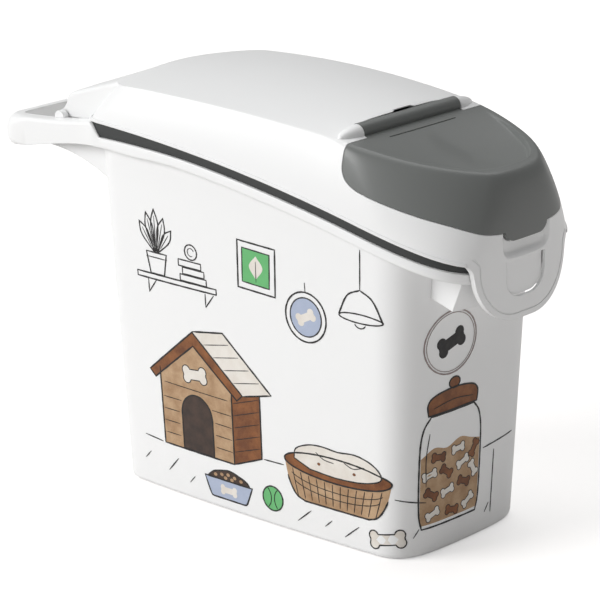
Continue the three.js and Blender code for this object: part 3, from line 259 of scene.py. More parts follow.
white_body = moulded(
    "white_satin_tub", (0.888, 0.893, 0.893), 0.38, 0.012, 0.10, 1400, 0.00004, 0.0009)
white_lid = moulded(
    "white_satin_lid", (0.875, 0.880, 0.880), 0.36, 0.012, 0.10, 1400, 0.00005, 0.0009)
grey_flap = moulded(
    "grey_satin_flap", (0.156, 0.164, 0.159), 0.36, 0.035, 0.10, 1300, 0.00006, 0.0008)
dark_seal = moulded(
    "dark_soft_seal", (0.050, 0.052, 0.052), 0.62, 0.10, 0.16, 600, 0.00008, 0.0005, 0.3)
print("materials", [m.name for m in (white_body, white_lid, grey_flap, dark_seal)])
for node, material in (
    ("container_body", white_body), ("lid", white_lid),
    ("lid_seal", dark_seal), ("pour_flap", grey_flap),
):
    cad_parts[node].data.materials.clear()
    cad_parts[node].data.materials.append(material)

# %% [markdown]
# ## One plan for every level
# Seen from above, the tub, the rim, the seal and the lid all have the same kind of outline: a
# straight rear, bowed sides, soft corners and a bowed front. It could be traced point by point,
# but one rule with a few sizes keeps every level parallel to the next, so each moulding fits.


# %% Plan outlines
def bend(start, pull, end, steps):
    """Points along a soft curve, without its first point."""
    share = np.linspace(0, 1, steps + 1)[1:, None]
    start, pull, end = (np.array(p, float) for p in (start, pull, end))
    return (1 - share) ** 2 * start + 2 * share * (1 - share) * pull + share ** 2 * end


def crossing(point_a, along_a, point_b, along_b):
    """Where two lines of the plan meet."""
    def turn(u, v):
        return u[0] * v[1] - u[1] * v[0]
    share = turn(point_b - point_a, along_b) / turn(along_a, along_b)
    return point_a + along_a * share


REAR_STEPS, CORNER_STEPS, SIDE_STEPS, FRONT_STEPS, BOW_STEPS = 10, 8, 44, 26, 14


def plan_outline(rear, front, half, corner, run, flat, bow):
    """The plan of one level in millimetres, from the middle of the rear round the far side."""
    rear_half = half * 0.965
    side_start = np.array([rear + corner, rear_half])
    side_end = np.array([front - run, half * 0.945])
    widest = np.array([side_start[0] + (side_end[0] - side_start[0]) * 0.42, half * 1.045])
    bow_start, bow_pull = np.array([front - bow, flat]), np.array([front, flat * 0.765])
    rear_pull = crossing(
        np.array([rear, rear_half]), np.array([0, rear_half]), side_start, widest - side_start)
    corner_pull = crossing(side_end, side_end - widest, bow_start, bow_start - bow_pull)
    rear_end = np.array([rear, rear_pull[1] - corner])
    far = np.vstack([
        [[rear, 0]],
        bend([rear, 0], [rear, rear_end[1] / 2], rear_end, REAR_STEPS),
        bend(rear_end, rear_pull, side_start, CORNER_STEPS),
        bend(side_start, widest, side_end, SIDE_STEPS),
        bend(side_end, corner_pull, bow_start, FRONT_STEPS),
        bend(bow_start, bow_pull, [front, 0], BOW_STEPS),
    ])
    return np.vstack([far, far[-2:0:-1] * [1, -1]])


def offset(outline, distance):
    """The outline moved outwards by a distance."""
    along = np.roll(outline, -1, 0) - np.roll(outline, 1, 0)
    along /= np.linalg.norm(along, axis=1)[:, None]
    return outline + np.column_stack([-along[:, 1], along[:, 0]]) * distance


def heights(height, xs):
    """The height at each x, from one number or from a rule that follows x."""
    return np.array([height(x) if callable(height) else height for x in xs], float)


def level(outline, height):
    """The outline as a row of points in space, at a height that may follow x."""
    return np.column_stack([outline, heights(height, outline[:, 0])])


def ease(share):
    """A share from 0 to 1 with a soft start and a soft end."""
    return share * share * (3 - 2 * share)


RIM_REAR_X, RIM_FRONT_X, RIM_HALF = -139, 239.5, 99
RIM_TOP_Z, RIM_ARC, ARC_START_X = 302, 1240, -140


def rim_z(x):
    """The top of the tub's rim: level at the rear, then falling on one long arc."""
    run = np.maximum(np.asarray(x, float) - ARC_START_X, 0)
    return RIM_TOP_Z - (RIM_ARC - np.sqrt(RIM_ARC ** 2 - run ** 2))


def lid_edge_z(x):
    """The lower edge of the lid."""
    return rim_z(x) + 7.5


def land_z(x):
    """The flat top of the rim, a little below that arc, and further below it at the rear."""
    run = np.maximum(-np.asarray(x, float) - 20, 0) / 90
    return rim_z(x) - 1.3 - 3.2 * run ** 1.3


def skirt_z(x):
    """The lower edge of the skirt, deeper where the handle's arms run into it."""
    share = np.clip((np.asarray(x, float) + 95) / 65, 0, 1)
    return rim_z(x) - 13.5 + 3.7 * ease(share)


foot_plan = plan_outline(-114, 193, 83, 18, 32, 54, 3.6)
mouth_plan = plan_outline(-131.5, 202, 93.5, 22, 38, 60, 3.6)


def rim_plan(inset):
    """The rim's outline drawn again at a distance inside it."""
    lean = np.array([60 * 0.235, 7.5])
    lean /= np.linalg.norm(lean)
    return plan_outline(RIM_REAR_X + inset, RIM_FRONT_X - inset, RIM_HALF - inset,
                        max(14 - inset, 3.5), 89.5 - inset, 60 - inset * lean[1],
                        7.5 + inset * (lean[0] - 1))


rim_fall = rim_z(ARC_START_X) - rim_z(RIM_FRONT_X)
print("outline points", len(foot_plan), "rim falls", round(float(rim_fall), 1))

# %% [markdown]
# ## Making a moulding from rows of points
# A moulded wall is drawn as rows, one above the other, each with the same number of points. A
# grid primitive has just such rows, so a grid is added, its points are put in their places, and
# in edit mode the seam where it closes on itself is merged. Flat outlines are pushed out of a
# filled circle with the extrude operator, and round bars come from a cylinder.


# %% Modelling helpers
def only(piece):
    """The piece alone selected and active."""
    if bpy.context.object is not None and bpy.context.object.mode != "OBJECT":
        bpy.ops.object.mode_set(mode="OBJECT")
    bpy.ops.object.select_all(action="DESELECT")
    piece.select_set(True)
    bpy.context.view_layer.objects.active = piece


def close_up(piece, name):
    """Seams merged, faces pointing outwards, and the piece named."""
    only(piece)
    bpy.ops.object.mode_set(mode="EDIT")
    bpy.ops.mesh.select_all(action="SELECT")
    bpy.ops.mesh.remove_doubles(threshold=2e-6)
    bpy.ops.mesh.dissolve_degenerate(threshold=1e-6)
    bpy.ops.mesh.select_all(action="SELECT")
    bpy.ops.mesh.normals_make_consistent(inside=False)
    bpy.ops.object.mode_set(mode="OBJECT")
    piece.name = name
    piece.data.name = name
    return piece


def mould(name, rows, ring_of_rows=False):
    """A closed wall through rows of points in millimetres. A ring of rows closes on its first."""
    rows = np.asarray(rows, float) * MM
    count, around = rows.shape[:2]
    spans = count if ring_of_rows else count - 1
    piece = add_alone(bpy.ops.mesh.primitive_grid_add, x_subdivisions=around,
                      y_subdivisions=spans, size=1)
    wrapped = rows[np.arange(spans + 1) % count][:, np.arange(around + 1) % around]
    piece.data.vertices.foreach_set("co", wrapped.ravel())
    return close_up(piece, name)


def push_out(name, outline, low, high, axis):
    """A flat outline in millimetres, pushed out along an axis between two places."""
    outline = np.asarray(outline, float) * MM
    piece = add_alone(bpy.ops.mesh.primitive_circle_add, vertices=len(outline),
                      fill_type="NGON")
    start = np.full(len(outline), low * MM)
    order = {"x": (start, outline[:, 0], outline[:, 1]),
             "y": (outline[:, 0], start, outline[:, 1]),
             "z": (outline[:, 0], outline[:, 1], start)}[axis]
    piece.data.vertices.foreach_set("co", np.column_stack(order).ravel())
    bpy.ops.object.mode_set(mode="EDIT")
    bpy.ops.mesh.select_all(action="SELECT")
    way = [(high - low) * MM if axis == letter else 0 for letter in "xyz"]
    bpy.ops.mesh.extrude_region_move(TRANSFORM_OT_translate={"value": way})
    return close_up(piece, name)


def bar(name, x, z, radius, low, high, sides=72):
    """A round bar along Y."""
    piece = add_alone(
        bpy.ops.mesh.primitive_cylinder_add, vertices=sides, radius=radius * MM,
        depth=abs(high - low) * MM, location=(x * MM, (low + high) / 2 * MM, z * MM),
        rotation=(math.pi / 2, 0, 0))
    bpy.ops.object.transform_apply(location=True, rotation=True, scale=True)
    return close_up(piece, name)


def brick(name, low, high):
    """A block between two corners."""
    piece = add_alone(bpy.ops.mesh.primitive_cube_add, size=1,
                      location=[(a + b) / 2 * MM for a, b in zip(low, high)],
                      scale=[(b - a) * MM for a, b in zip(low, high)])
    bpy.ops.object.transform_apply(location=True, rotation=True, scale=True)
    return close_up(piece, name)


print("solids can be moulded, pushed out, turned or blocked out")

# %% [markdown]
# ## Joining, cutting and closing
# A boolean modifier joins two solids, takes one from the other or keeps what they share. It needs
# closed solids, so a wall is closed on the spine of its plan, or each of its ends on its middle.


# %% Booleans and closed walls
def work(piece, other, operation):
    """Joins, cuts or keeps a piece with another, which is used up."""
    only(piece)
    boolean = piece.modifiers.new(operation.lower(), "BOOLEAN")
    boolean.operation = operation
    boolean.solver = "MANIFOLD"
    boolean.object = other
    bpy.ops.object.modifier_apply(modifier=boolean.name)
    bpy.data.objects.remove(other)
    return piece


def join(piece, *others):
    """The piece made one with the others."""
    for other in others:
        work(piece, other, "UNION")
    return piece


def cut(piece, *others):
    """The piece less the others."""
    for other in others:
        work(piece, other, "DIFFERENCE")
    return piece


def keep(piece, other):
    """Only what lies in both."""
    return work(piece, other, "INTERSECT")


SPINE = (-60, 150)


def fans(row, rear, front, height, steps, tight=1.0):
    """Rows that close a level: each point moves towards the spine of the plan."""
    spine = np.column_stack([np.clip(row[:, 0], rear, front), np.zeros(len(row))])
    rows = []
    for share in np.linspace(0, 1, steps + 1)[1:] ** tight:
        plan = row[:, :2] + (spine - row[:, :2]) * share
        rows.append(np.column_stack([plan, height(plan)]))
    return rows


def closed_wall(name, rows, low, high, steps=4):
    """A wall through rows, closed below and above at heights that may follow x."""
    def on(height):
        return lambda plan: heights(height, plan[:, 0])
    return mould(name, fans(rows[0], *SPINE, on(low), steps)[::-1] + rows
                 + fans(rows[-1], *SPINE, on(high), steps))


def capped(name, rows, first_z=None):
    """A wall through rows. Each end closes on its middle, the first at a height if one is given."""
    ends = [row.mean(0)[None].repeat(len(row), 0) for row in (rows[0], rows[-1])]
    if first_z is not None:
        ends[0][:, 2] = first_z
    return mould(name, [ends[0], *rows, ends[1]])


print("walls close on a spine from", SPINE[0], "to", SPINE[1], "mm")

# %% [markdown]
# ## Cleaning and finishing a piece
# Where two surfaces of a boolean nearly meet, it can leave flat doubled faces and tiny loose
# bits. They can't be seen, but a file for printing or measuring should be free of them, so they
# are looked for face by face. Then the piece gets its shading, its finish and its body.


# %% Slivers and finish
def drop_slivers(piece, least=9):
    """Takes away the flat doubled faces and tiny loose bits that joining and cutting leave."""
    mesh = bmesh.new()
    mesh.from_mesh(piece.data)
    bmesh.ops.remove_doubles(mesh, verts=mesh.verts, dist=1e-7)
    bmesh.ops.dissolve_degenerate(mesh, edges=mesh.edges, dist=1e-7)
    same = {}
    for face in mesh.faces:
        same.setdefault(frozenset(face.verts), []).append(face)
    doubled = [face for faces in same.values() if len(faces) == 2 for face in faces]
    bmesh.ops.delete(mesh, geom=doubled, context="FACES")
    seen, loose = set(), []
    for face in mesh.faces:
        if face in seen:
            continue
        island, front = {face}, [face]
        while front:
            for edge in front.pop().edges:
                for other in edge.link_faces:
                    if other not in island:
                        island.add(other)
                        front.append(other)
        seen |= island
        if len(island) < least:
            loose += island
    bmesh.ops.delete(mesh, geom=loose, context="FACES")
    open_edges = sum(len(edge.link_faces) != 2 for edge in mesh.edges)
    mesh.to_mesh(piece.data)
    mesh.free()
    print(piece.name, "dropped", len(doubled) + len(loose), "slivers, open edges", open_edges)


def finish_piece(piece, body, material, angle=32):
    """Smooth shading where faces meet gently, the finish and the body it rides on."""
    only(piece)
    drop_slivers(piece)
    bpy.ops.object.shade_smooth_by_angle(angle=math.radians(angle))
    piece.data.materials.clear()
    piece.data.materials.append(material)
    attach(piece, body)
    faces = sum(len(p.vertices) - 2 for p in piece.data.polygons)
    print(piece.name, faces, "triangles")


print("nodes to stand in for:", len(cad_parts))

# %% [markdown]
# ## The tub
# The tub is one moulding: a floor on a standing rim, drafted walls that open upwards, and a rim
# that turns out into a land and down into a skirt. Its rows run from under the floor, up the
# outside, over the rim and down the inside. Small rows at each turn give the moulded radii.

# %% Tub shell
MOUTH_HEIGHT = 269
TUB_WALL, BASE_ROUND, INNER_FOOT_Z = 2.4, 5, 9.4


def wall_row(distance, height):
    """A row on the drafted wall, moved out by a distance, at a height that may follow x."""
    lower, upper = offset(foot_plan, distance), offset(mouth_plan, distance)
    z = heights(height, upper[:, 0])
    plan = lower + (upper - lower) * (z / MOUTH_HEIGHT)[:, None]
    return np.column_stack([plan, z])


def make_tub_shell():
    """The tub as one closed wall, from under its floor up, over the rim and down inside."""
    turns = np.radians([18, 36, 54, 72])
    under = rim_plan(2.2)
    rows = [wall_row(-15, 2), wall_row(-13.4, 0.35), wall_row(-12.6, 0), wall_row(-5, 0)]
    rows += [wall_row(BASE_ROUND * math.sin(turn) - BASE_ROUND,
                      BASE_ROUND - BASE_ROUND * math.cos(turn)) for turn in turns]
    rows.append(wall_row(0, BASE_ROUND))
    for share in (0.12, 0.28, 0.44, 0.60, 0.76, 0.90):
        rows.append(wall_row(0, lambda x, s=share: BASE_ROUND + (rim_z(x) - 14.5) * s))
    for distance, drop in ((0, 4.4), (0.6, 2.9), (2.2, 2.4)):
        rows.append(wall_row(distance, lambda x, d=drop: land_z(x) - d))
    rows.append(level(under, lambda x: land_z(x) - 2.4))
    rows.append(level(under, lambda x: skirt_z(x) + 0.4))
    for inset, rise in ((1.9, 0), (1.5, 0), (0.9, 0.25), (0.4, 0.75), (0.1, 1.5), (0, 2.4)):
        rows.append(level(rim_plan(inset), lambda x, r=rise: skirt_z(x) + r))
    rows.append(level(rim_plan(0), lambda x: (skirt_z(x) + land_z(x)) / 2 + 0.6))
    for inset, drop in ((0, 1.1), (0.35, 0.3), (1.1, 0)):
        rows.append(level(rim_plan(inset), lambda x, d=drop: land_z(x) - d))
    for distance, drop in ((-1.2, 0), (-2.2, 0.5), (-TUB_WALL, 1.6)):
        rows.append(wall_row(distance, lambda x, d=drop: land_z(x) - d))
    for share in (0.85, 0.6, 0.35, 0.12, 0):
        rows.append(wall_row(-TUB_WALL, lambda x, s=share: INNER_FOOT_Z + (land_z(x) - 12) * s))
    rows += [wall_row(BASE_ROUND * math.sin(turn) - BASE_ROUND - TUB_WALL,
                      INNER_FOOT_Z - BASE_ROUND * math.cos(turn)) for turn in turns[::-1]]
    rows.append(wall_row(-BASE_ROUND - TUB_WALL, INNER_FOOT_Z - BASE_ROUND))
    return closed_wall("tub_shell", rows, 2.0, INNER_FOOT_Z - BASE_ROUND, 5)


tub = make_tub_shell()
print("tub rows give", len(tub.data.polygons), "faces")

# %% [markdown]
# ## The handle
# The handle is a loop: two arms that grow out of the rim and a bar across the rear, all one
# channel that is open below. Its outline seen from above and its side view are both known, so a
# cross-section is swept along the loop, and the side view gives the top and the foot of each
# section. The long edges are rounded, because a hand goes round them.

# %% Handle
HANDLE_WALL = 2.6
HANDLE_WIDTH = 16.0
ARM_ROOT_X, LOOP_REAR_X = -112.0, -245
LOOP_CORNER_X, LOOP_CORNER_Y = -225, -74


def read_curve(points, x):
    """The height of a side view at x, from its points in order of x."""
    points = np.asarray(points)
    order = np.argsort(points[:, 0])
    return np.interp(x, points[order, 0], points[order, 1])


top_side = np.vstack([
    [[ARM_ROOT_X, 294], [-121, 296.6], [-131.5, 308.9]],
    bend([-131.5, 308.9], [-170, 301.2], [-237, 297], 24),
    [[LOOP_REAR_X, 297]],
])
foot_side = np.vstack([
    [[LOOP_REAR_X, 269]],
    bend([-231, 269], [-172, 285.5], [-131.5, 288.7], 24),
    [[ARM_ROOT_X, 288.5]],
])


def handle_stations():
    """Pairs of outer and inner points round the loop, from the near arm to the far one."""
    arm = [(x, 95.5 + (x + 106) / 119 * 1.5 + 0.9 * math.exp(-((x + 129) / 9) ** 2))
           for x in np.linspace(ARM_ROOT_X, LOOP_CORNER_X, 28)]
    outer = [(x, -y) for x, y in arm]
    inner = [(x, -(y - HANDLE_WIDTH)) for x, y in arm]
    for turn in np.radians(np.linspace(270, 180, 14))[1:]:
        for side, radius in ((outer, 20), (inner, 20 - HANDLE_WIDTH)):
            side.append((LOOP_CORNER_X + radius * math.cos(turn),
                         LOOP_CORNER_Y + radius * math.sin(turn)))
    for y in np.linspace(LOOP_CORNER_Y, 0, 9)[1:]:
        outer.append((LOOP_REAR_X, y))
        inner.append((LOOP_REAR_X + HANDLE_WIDTH, y))
    outer, inner = np.array(outer), np.array(inner)
    return (np.vstack([outer, outer[-2::-1] * [1, -1]]),
            np.vstack([inner, inner[-2::-1] * [1, -1]]))


def sweep(name, across, drop, top_inset, foot_inset):
    """A solid swept round the loop. across gives the places over the width in millimetres."""
    outer, inner = handle_stations()
    near_end = ease(np.clip((-206 - outer[:, 0]) / 36, 0, 1))

    def row(distance, curve, shift, edge, bulge):
        plan = outer + (inner - outer) * (distance / HANDLE_WIDTH)
        reach = np.clip(1 - distance / 9, 0, 1)
        fall = bulge * near_end * (1 - np.sqrt(1 - reach ** 2)) + edge * (1 - near_end)
        return np.column_stack([plan, read_curve(curve, plan[:, 0]) - shift - fall])
    rows = [row(distance, top_side, top_inset, fall, 13) for distance, fall in zip(across, drop)]
    rows += [row(distance, foot_side, foot_inset, 0, -13) for distance in across[::-1]]
    return capped(name, np.array(rows).transpose(1, 0, 2))


EDGE_ROUND = 3.2


def edge_fall(distance):
    """How far the top has fallen near either edge of the grip."""
    near = min(distance, HANDLE_WIDTH - distance)
    if near >= EDGE_ROUND:
        return 0.0
    return EDGE_ROUND - math.sqrt(EDGE_ROUND ** 2 - (EDGE_ROUND - near) ** 2)


grip_places = [0, 0.12, 0.45, 1.0, 1.8, 2.6, 3.2, 4.2, 5.5, 7, 8.5, 10.5, 12.8, 13.4, 14.2, 15,
               15.55, 15.88, 16]
handle = sweep("handle_loop", grip_places, [edge_fall(d) for d in grip_places], 0, 0)
hollow_places = [2.6, 3.0, 3.8, 8, 12.2, 13.0, 13.4]
hollow_falls = [1.4, 0.6, 0, 0, 0, 0.6, 1.4]
cut(handle, sweep("handle_hollow", hollow_places, hollow_falls, HANDLE_WALL, 5))
print("handle", len(handle.data.polygons), "faces")

# %% [markdown]
# ## Everything moulded on to the tub
# The arms have curved webs below them and ears for the lid's hinge pins, a ledge joins them, and
# at the front a hollow nose carries the catch. Each is a simple solid. They are joined to the
# shell with boolean modifiers, because on the real tub they are one piece of plastic with it.


# %% Webs, ledge, ears, nose and catch
HINGE_X, HINGE_Z = -179, 303
LEDGE_HALF = 80.8
CATCH_HALF, CATCH_FOOT_Z, CATCH_TOP_Z = 23.2, 219.0, 247.2
NOSE_HALF, NOSE_REAR_X, NOSE_FLOOR_Z = 57, 165.0, 217.3
WEB_INNER, WEB_WIDTH, WEB_REAR_X = 79.535, 4, -200
ABOVE_ALL_Z = 345


def arm_inner(x):
    """How far from the middle an arm's inner face stands."""
    return 95.535 - HANDLE_WIDTH - 1.535 * (-106 - x) / 119


def cup(half, foot, top, corner, steps=16):
    """A shape with a flat top and two round lower corners, in Y and Z."""
    turns = np.radians(np.linspace(180, 270, steps))
    left = np.column_stack([-half + corner + corner * np.cos(turns),
                            foot + corner + corner * np.sin(turns)])
    return np.vstack([[[-half, top]], left, left[::-1] * [-1, 1], [[half, top]]])


def make_web(side):
    """The curved web under one arm."""
    shape = np.vstack([
        [[ARM_ROOT_X, 291.6], [WEB_REAR_X, 286], [WEB_REAR_X, 277.5]],
        bend([WEB_REAR_X, 277.5], [-163, 277.5], [-131, 263], 24),
        [[ARM_ROOT_X, 254]],
    ])
    ends = sorted([WEB_INNER * side, (WEB_INNER + WEB_WIDTH) * side])
    return push_out("web", shape, *ends, "y")


def make_nose(inset, top):
    """The nose, moved in by an inset: upright sides, a bowed front and a floor that slopes."""
    def nose_row(front, z):
        half, rear = NOSE_HALF - inset, NOSE_REAR_X
        reach = np.linspace(-1, 1, 25)
        front_line = np.column_stack([front - inset + 7 * (1 - reach ** 2), half * reach])
        side = np.column_stack([np.linspace(rear, front_line[0, 0], 7)[:-1], np.full(6, -half)])
        plan = np.vstack([side, front_line, side[::-1] * [1, -1]])
        floor_z = NOSE_FLOOR_Z - 6.6 * np.clip((plan[:, 0] - 197) / 21.7, 0, 1) + inset
        return np.column_stack([plan, np.maximum(floor_z, z) if z else floor_z])
    rows = [nose_row(218.7, 0), nose_row(219.4, 213.5 + inset), nose_row(226, 231 + inset),
            nose_row(227, 235 + inset), nose_row(227, top)]
    return capped("nose", rows, rows[0][:, 2].max())


reach = np.linspace(-1, 1, 33)
catch_plan = np.vstack([[[222, -CATCH_HALF]],
                        np.column_stack([242.7 - 1.1 * reach ** 2, CATCH_HALF * reach]),
                        [[222, CATCH_HALF]]])
catch_shape = cup(CATCH_HALF, CATCH_FOOT_Z, CATCH_TOP_Z, 16.2)
catch = keep(push_out("catch", catch_plan, CATCH_FOOT_Z, CATCH_TOP_Z, "z"),
             push_out("catch_face", catch_shape, 220, 250, "x"))
cut(catch, brick("catch_back", (200, -30, 241.2), (240.4, 30, 260)))
ear_inner = arm_inner(HINGE_X)
for side in (1, -1):
    join(handle, make_web(side),
         bar("ear", HINGE_X, HINGE_Z - 0.2, 5.3, ear_inner * side, (ear_inner + 6) * side))
join(handle, brick("ledge", (-166, -LEDGE_HALF, 294), (-134, LEDGE_HALF, 296.4)))
seat_foot, seat_top = rim_plan(1.3), rim_plan(1.3 - 9)
seat_rows = [level(seat_foot, land_z), level(seat_foot, lambda x: lid_edge_z(x) - 1.2),
             level(seat_top, lambda x: lid_edge_z(x) - 1.0), level(seat_top, ABOVE_ALL_Z)]
cut(handle, closed_wall("seat", seat_rows, land_z, ABOVE_ALL_Z))
additions = join(handle, make_nose(0, float(rim_z(RIM_FRONT_X)) - 1.2), catch)
inside_rows = [wall_row(-TUB_WALL, INNER_FOOT_Z), wall_row(-TUB_WALL, ABOVE_ALL_Z)]
cut(additions, closed_wall("inside", inside_rows, INNER_FOOT_Z, ABOVE_ALL_Z))
join(tub, additions)
cut(tub, make_nose(2.45, ABOVE_ALL_Z))
for side in (1, -1):
    cut(tub, bar("socket", HINGE_X, HINGE_Z, 3.9, (ear_inner - 5) * side,
                 (ear_inner + 5.7) * side))
tub.name = "food_tub"
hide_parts("container_body")
finish_piece(tub, "bin", white_body)
print("tub", [round(v, 1) for v in (Vector(tub.dimensions) / MM)])

# %% [markdown]
# ## The hood
# Lid and flap share one outer form: a wall that leans in and bulges slightly, a crease on a long
# arc, and a crowned top. Over the flap the crisp crease opens into a soft shoulder. Both are cut
# from this form, so their surfaces run into each other with only a fine gap between them, which
# is how such parts are designed.

# %% Hood form
REAR_X, TOP_FRONT_X, LID_FRONT_X = -120.0, 231.5, 244.7
AXIS_X, AXIS_Z, FLAP_REAR_X = 124.5, 336.8, 134.0
BEYOND_X, BEYOND_HALF, BEYOND_Z = 249.7, 104.5, 357.5
CREASE_TOP_Z, CREASE_ARC, CREASE_TOP_X = 343.7, 1400, -30
TAB_FOOT_Z = 199.5

lid_plan = plan_outline(RIM_REAR_X, LID_FRONT_X, 99.5, 16, 94.7, 60, 7.4)
crease_plan = plan_outline(REAR_X, TOP_FRONT_X, 89.5, 22, 125, 34, 5.5)
half_line = crease_plan[REAR_STEPS:len(crease_plan) // 2 + 1]


def softness(x, start=112, run=42):
    """0 where the crease is crisp, 1 over the flap's soft shoulder."""
    return ease(np.clip((np.asarray(x, float) - start) / run, 0, 1))


def crease_z(x):
    """The height of the crease, on one long arc that drops a little over the flap."""
    run = np.asarray(x, float) - CREASE_TOP_X
    fall = CREASE_ARC - np.sqrt(CREASE_ARC ** 2 - run ** 2)
    return CREASE_TOP_Z - fall - 2.5 * softness(x, 110, 80)


def crown_rise(x):
    """How far the lid's middle stands above its creases. It falls to the flap's level."""
    share = np.clip((x - REAR_X) / (AXIS_X - REAR_X), 0, 1)
    return (5.5 + 3.3 * share) * (1 - ease(np.clip((x - 121) / (FLAP_REAR_X - 121), 0, 1)))


def dish_rise(x):
    """How far the middle of the flap's top lies below its creases."""
    share = np.clip((x - FLAP_REAR_X) / (TOP_FRONT_X - FLAP_REAR_X), 0, 1)
    return -3 * np.sin(math.pi * share)


print("crease falls", round(float(crease_z(REAR_X) - crease_z(TOP_FRONT_X)), 1), "mm")

# %% [markdown]
# ## The rows of the hood
# The side bulges by a set amount some way below the crease, and the turn over the crease is one
# smooth curve whose ends keep the directions of the side and of the top, so no line shows there.


# %% Hood rows
def hood_rows(inset, foot, rise, relief=None):
    """The rows of the hood from its foot to the middle of its top, moved in by an inset."""
    edge, crease = offset(lid_plan, -inset), offset(crease_plan, -inset)
    outward = offset(crease_plan, 1) - crease_plan
    soft = softness(crease[:, 0])

    crest = np.column_stack([crease, crease_z(crease[:, 0]) - inset])
    top = crest + np.column_stack([outward * (2.4 + 7.6 * soft)[:, None], -4.8 - 9.2 * soft])
    base = level(edge, lambda x: float(lid_edge_z(x)))
    belt = 16 / (top[:, 2] - base[:, 2])
    bulge = 1.1 + 0.5 * softness(base[:, 0])
    lean = top - base
    lean[:, :2] -= outward * (bulge / (belt * (1 - belt)))[:, None]
    turn_point = top + lean * ((crest[:, 2] - top[:, 2]) / lean[:, 2])[:, None]
    rows = fans(level(edge, foot), *SPINE, lambda plan: np.full(len(plan), foot), 5)[::-1]
    rows.append(level(edge, foot))
    for share in np.linspace(0, 1, 12)[:-1]:
        swell = bulge * share * (1 - share) / (belt * (1 - belt))
        row = base + (top - base) * share
        row[:, :2] += outward * swell[:, None]
        rows.append(row)
    first, second = top + (turn_point - top) * 0.7, crest + (turn_point - crest) * 0.7
    for t in np.linspace(0, 1, 12):
        rows.append(top * (1 - t) ** 3 + first * 3 * t * (1 - t) ** 2
                    + second * 3 * t * t * (1 - t) + crest * t ** 3)
    rear_half = half_line[0, 1]
    last = rows[-1]
    on_rear = np.abs(crease_plan[:, 0] - REAR_X) < 0.001
    last[on_rear, 2] += rise(REAR_X) * (1 - (crease_plan[on_rear, 1] / rear_half) ** 2)

    def top_height(plan):
        edge_half = np.interp(plan[:, 0], half_line[:, 0], half_line[:, 1]) - inset
        reach = np.clip(np.abs(plan[:, 1]) / np.maximum(edge_half, 0.01), 0, 1)
        dish = rise(plan[:, 0]) * (1 - reach ** 2)
        height = crease_z(plan[:, 0]) - inset + dish
        return height + relief(plan) if relief else height
    if relief:
        for depth in (1.8, 3.2, 4.0, 4.6, 5.2, 5.8, 6.4, 7.0, 8.4):
            plan = offset(crease_plan, -inset - depth)
            rows.append(np.column_stack([plan, top_height(plan)]))
    rows += fans(rows[-1], -50, 195, top_height, 30, 1.3)
    return rows


def hood(name, inset, rise, foot=TAB_FOOT_Z - 5, relief=None):
    """The hood as a solid, moved in by an inset."""
    return mould(name, hood_rows(inset, foot, rise, relief))


outer_rows = hood_rows(0, TAB_FOOT_Z - 5, crown_rise)
front_wall = [row[row[:, 0] > 205] for row in outer_rows[6:18]]


def front_x(y, z):
    """Where the outer face of the hood's front stands, at places given by y and z."""
    places = []
    for a, b in zip(np.atleast_1d(y), np.atleast_1d(z)):
        xs, zs = [], []
        for row in front_wall:
            order = np.argsort(row[:, 1])
            xs.append(np.interp(a, row[order, 1], row[order, 0]))
            zs.append(np.interp(a, row[order, 1], row[order, 2]))
        places.append(np.interp(b, zs, xs))
    return np.array(places)


print("hood rows", len(outer_rows))

# %% [markdown]
# ## The parting between lid and flap
# The flap's edge falls along the side of the hood in one line, with a round rear corner, a hinge
# strip in the middle and a small tab at the front. One solid stands for all the room the flap
# takes. The lid is cut with it, and the flap is what lies inside it, half a millimetre smaller.


# %% Flap's room on the hood
BARREL_HALF = 59


def flap_edge_z(x):
    """The flap's lower edge: one slope, and an arc that falls away at the front."""
    share = (x - FLAP_REAR_X) / (LID_FRONT_X - FLAP_REAR_X)
    run = max(x - 215, 0)
    return 304.5 - 29 * share - (90 - math.sqrt(90 ** 2 - run ** 2))


def flap_room(grow):
    """All the room the flap takes, grown by a distance."""
    rear, corner, half = FLAP_REAR_X - grow, 20, BARREL_HALF + grow
    lower = [[x, flap_edge_z(x) - grow] for x in np.linspace(rear + corner, BEYOND_X, 40)]
    corner_top = [rear, flap_edge_z(rear + corner) - grow + corner]
    side_view = np.vstack([
        [[rear, BEYOND_Z], corner_top],
        bend(corner_top, [rear, flap_edge_z(rear) - grow], lower[0], 16),
        lower[1:], [[BEYOND_X, BEYOND_Z]],
    ])
    tab = cup(27 + grow, flap_edge_z(LID_FRONT_X) - 7.5 - grow, BEYOND_Z, 11)
    return join(push_out("flap_room", side_view, -BEYOND_HALF, BEYOND_HALF, "y"),
                brick("strip", (AXIS_X, -half, 327.7), (139, half, BEYOND_Z)),
                push_out("front_tab", tab, 204.5, BEYOND_X, "x"))


def tab_shape(inset):
    """The latch tab seen from the front, with fillets where it leaves the lid's edge."""
    half, foot, corner, fillet = 56.5 - inset, TAB_FOOT_Z + inset, 46 - inset, 13
    root = float(lid_edge_z(229.9)) + inset
    in_turns, out_turns = np.radians(np.linspace(90, 0, 14)), np.radians(np.linspace(180, 270, 26))
    left = np.vstack([
        np.column_stack([-half - fillet + fillet * np.cos(in_turns),
                         root - fillet + fillet * np.sin(in_turns)]),
        np.column_stack([-half + corner + corner * np.cos(out_turns),
                         foot + corner + corner * np.sin(out_turns)]),
    ])
    return np.vstack([[[-half - fillet, root + 5]], left, left[::-1] * [-1, 1],
                      [[half + fillet, root + 5]]])


def round_the_axis(radius, half):
    """A bar round the flap's hinge line."""
    return bar("axis_bar", AXIS_X, AXIS_Z, radius, -half, half, 96)


print("flap edge falls", round(flap_edge_z(FLAP_REAR_X) - flap_edge_z(LID_FRONT_X), 1))

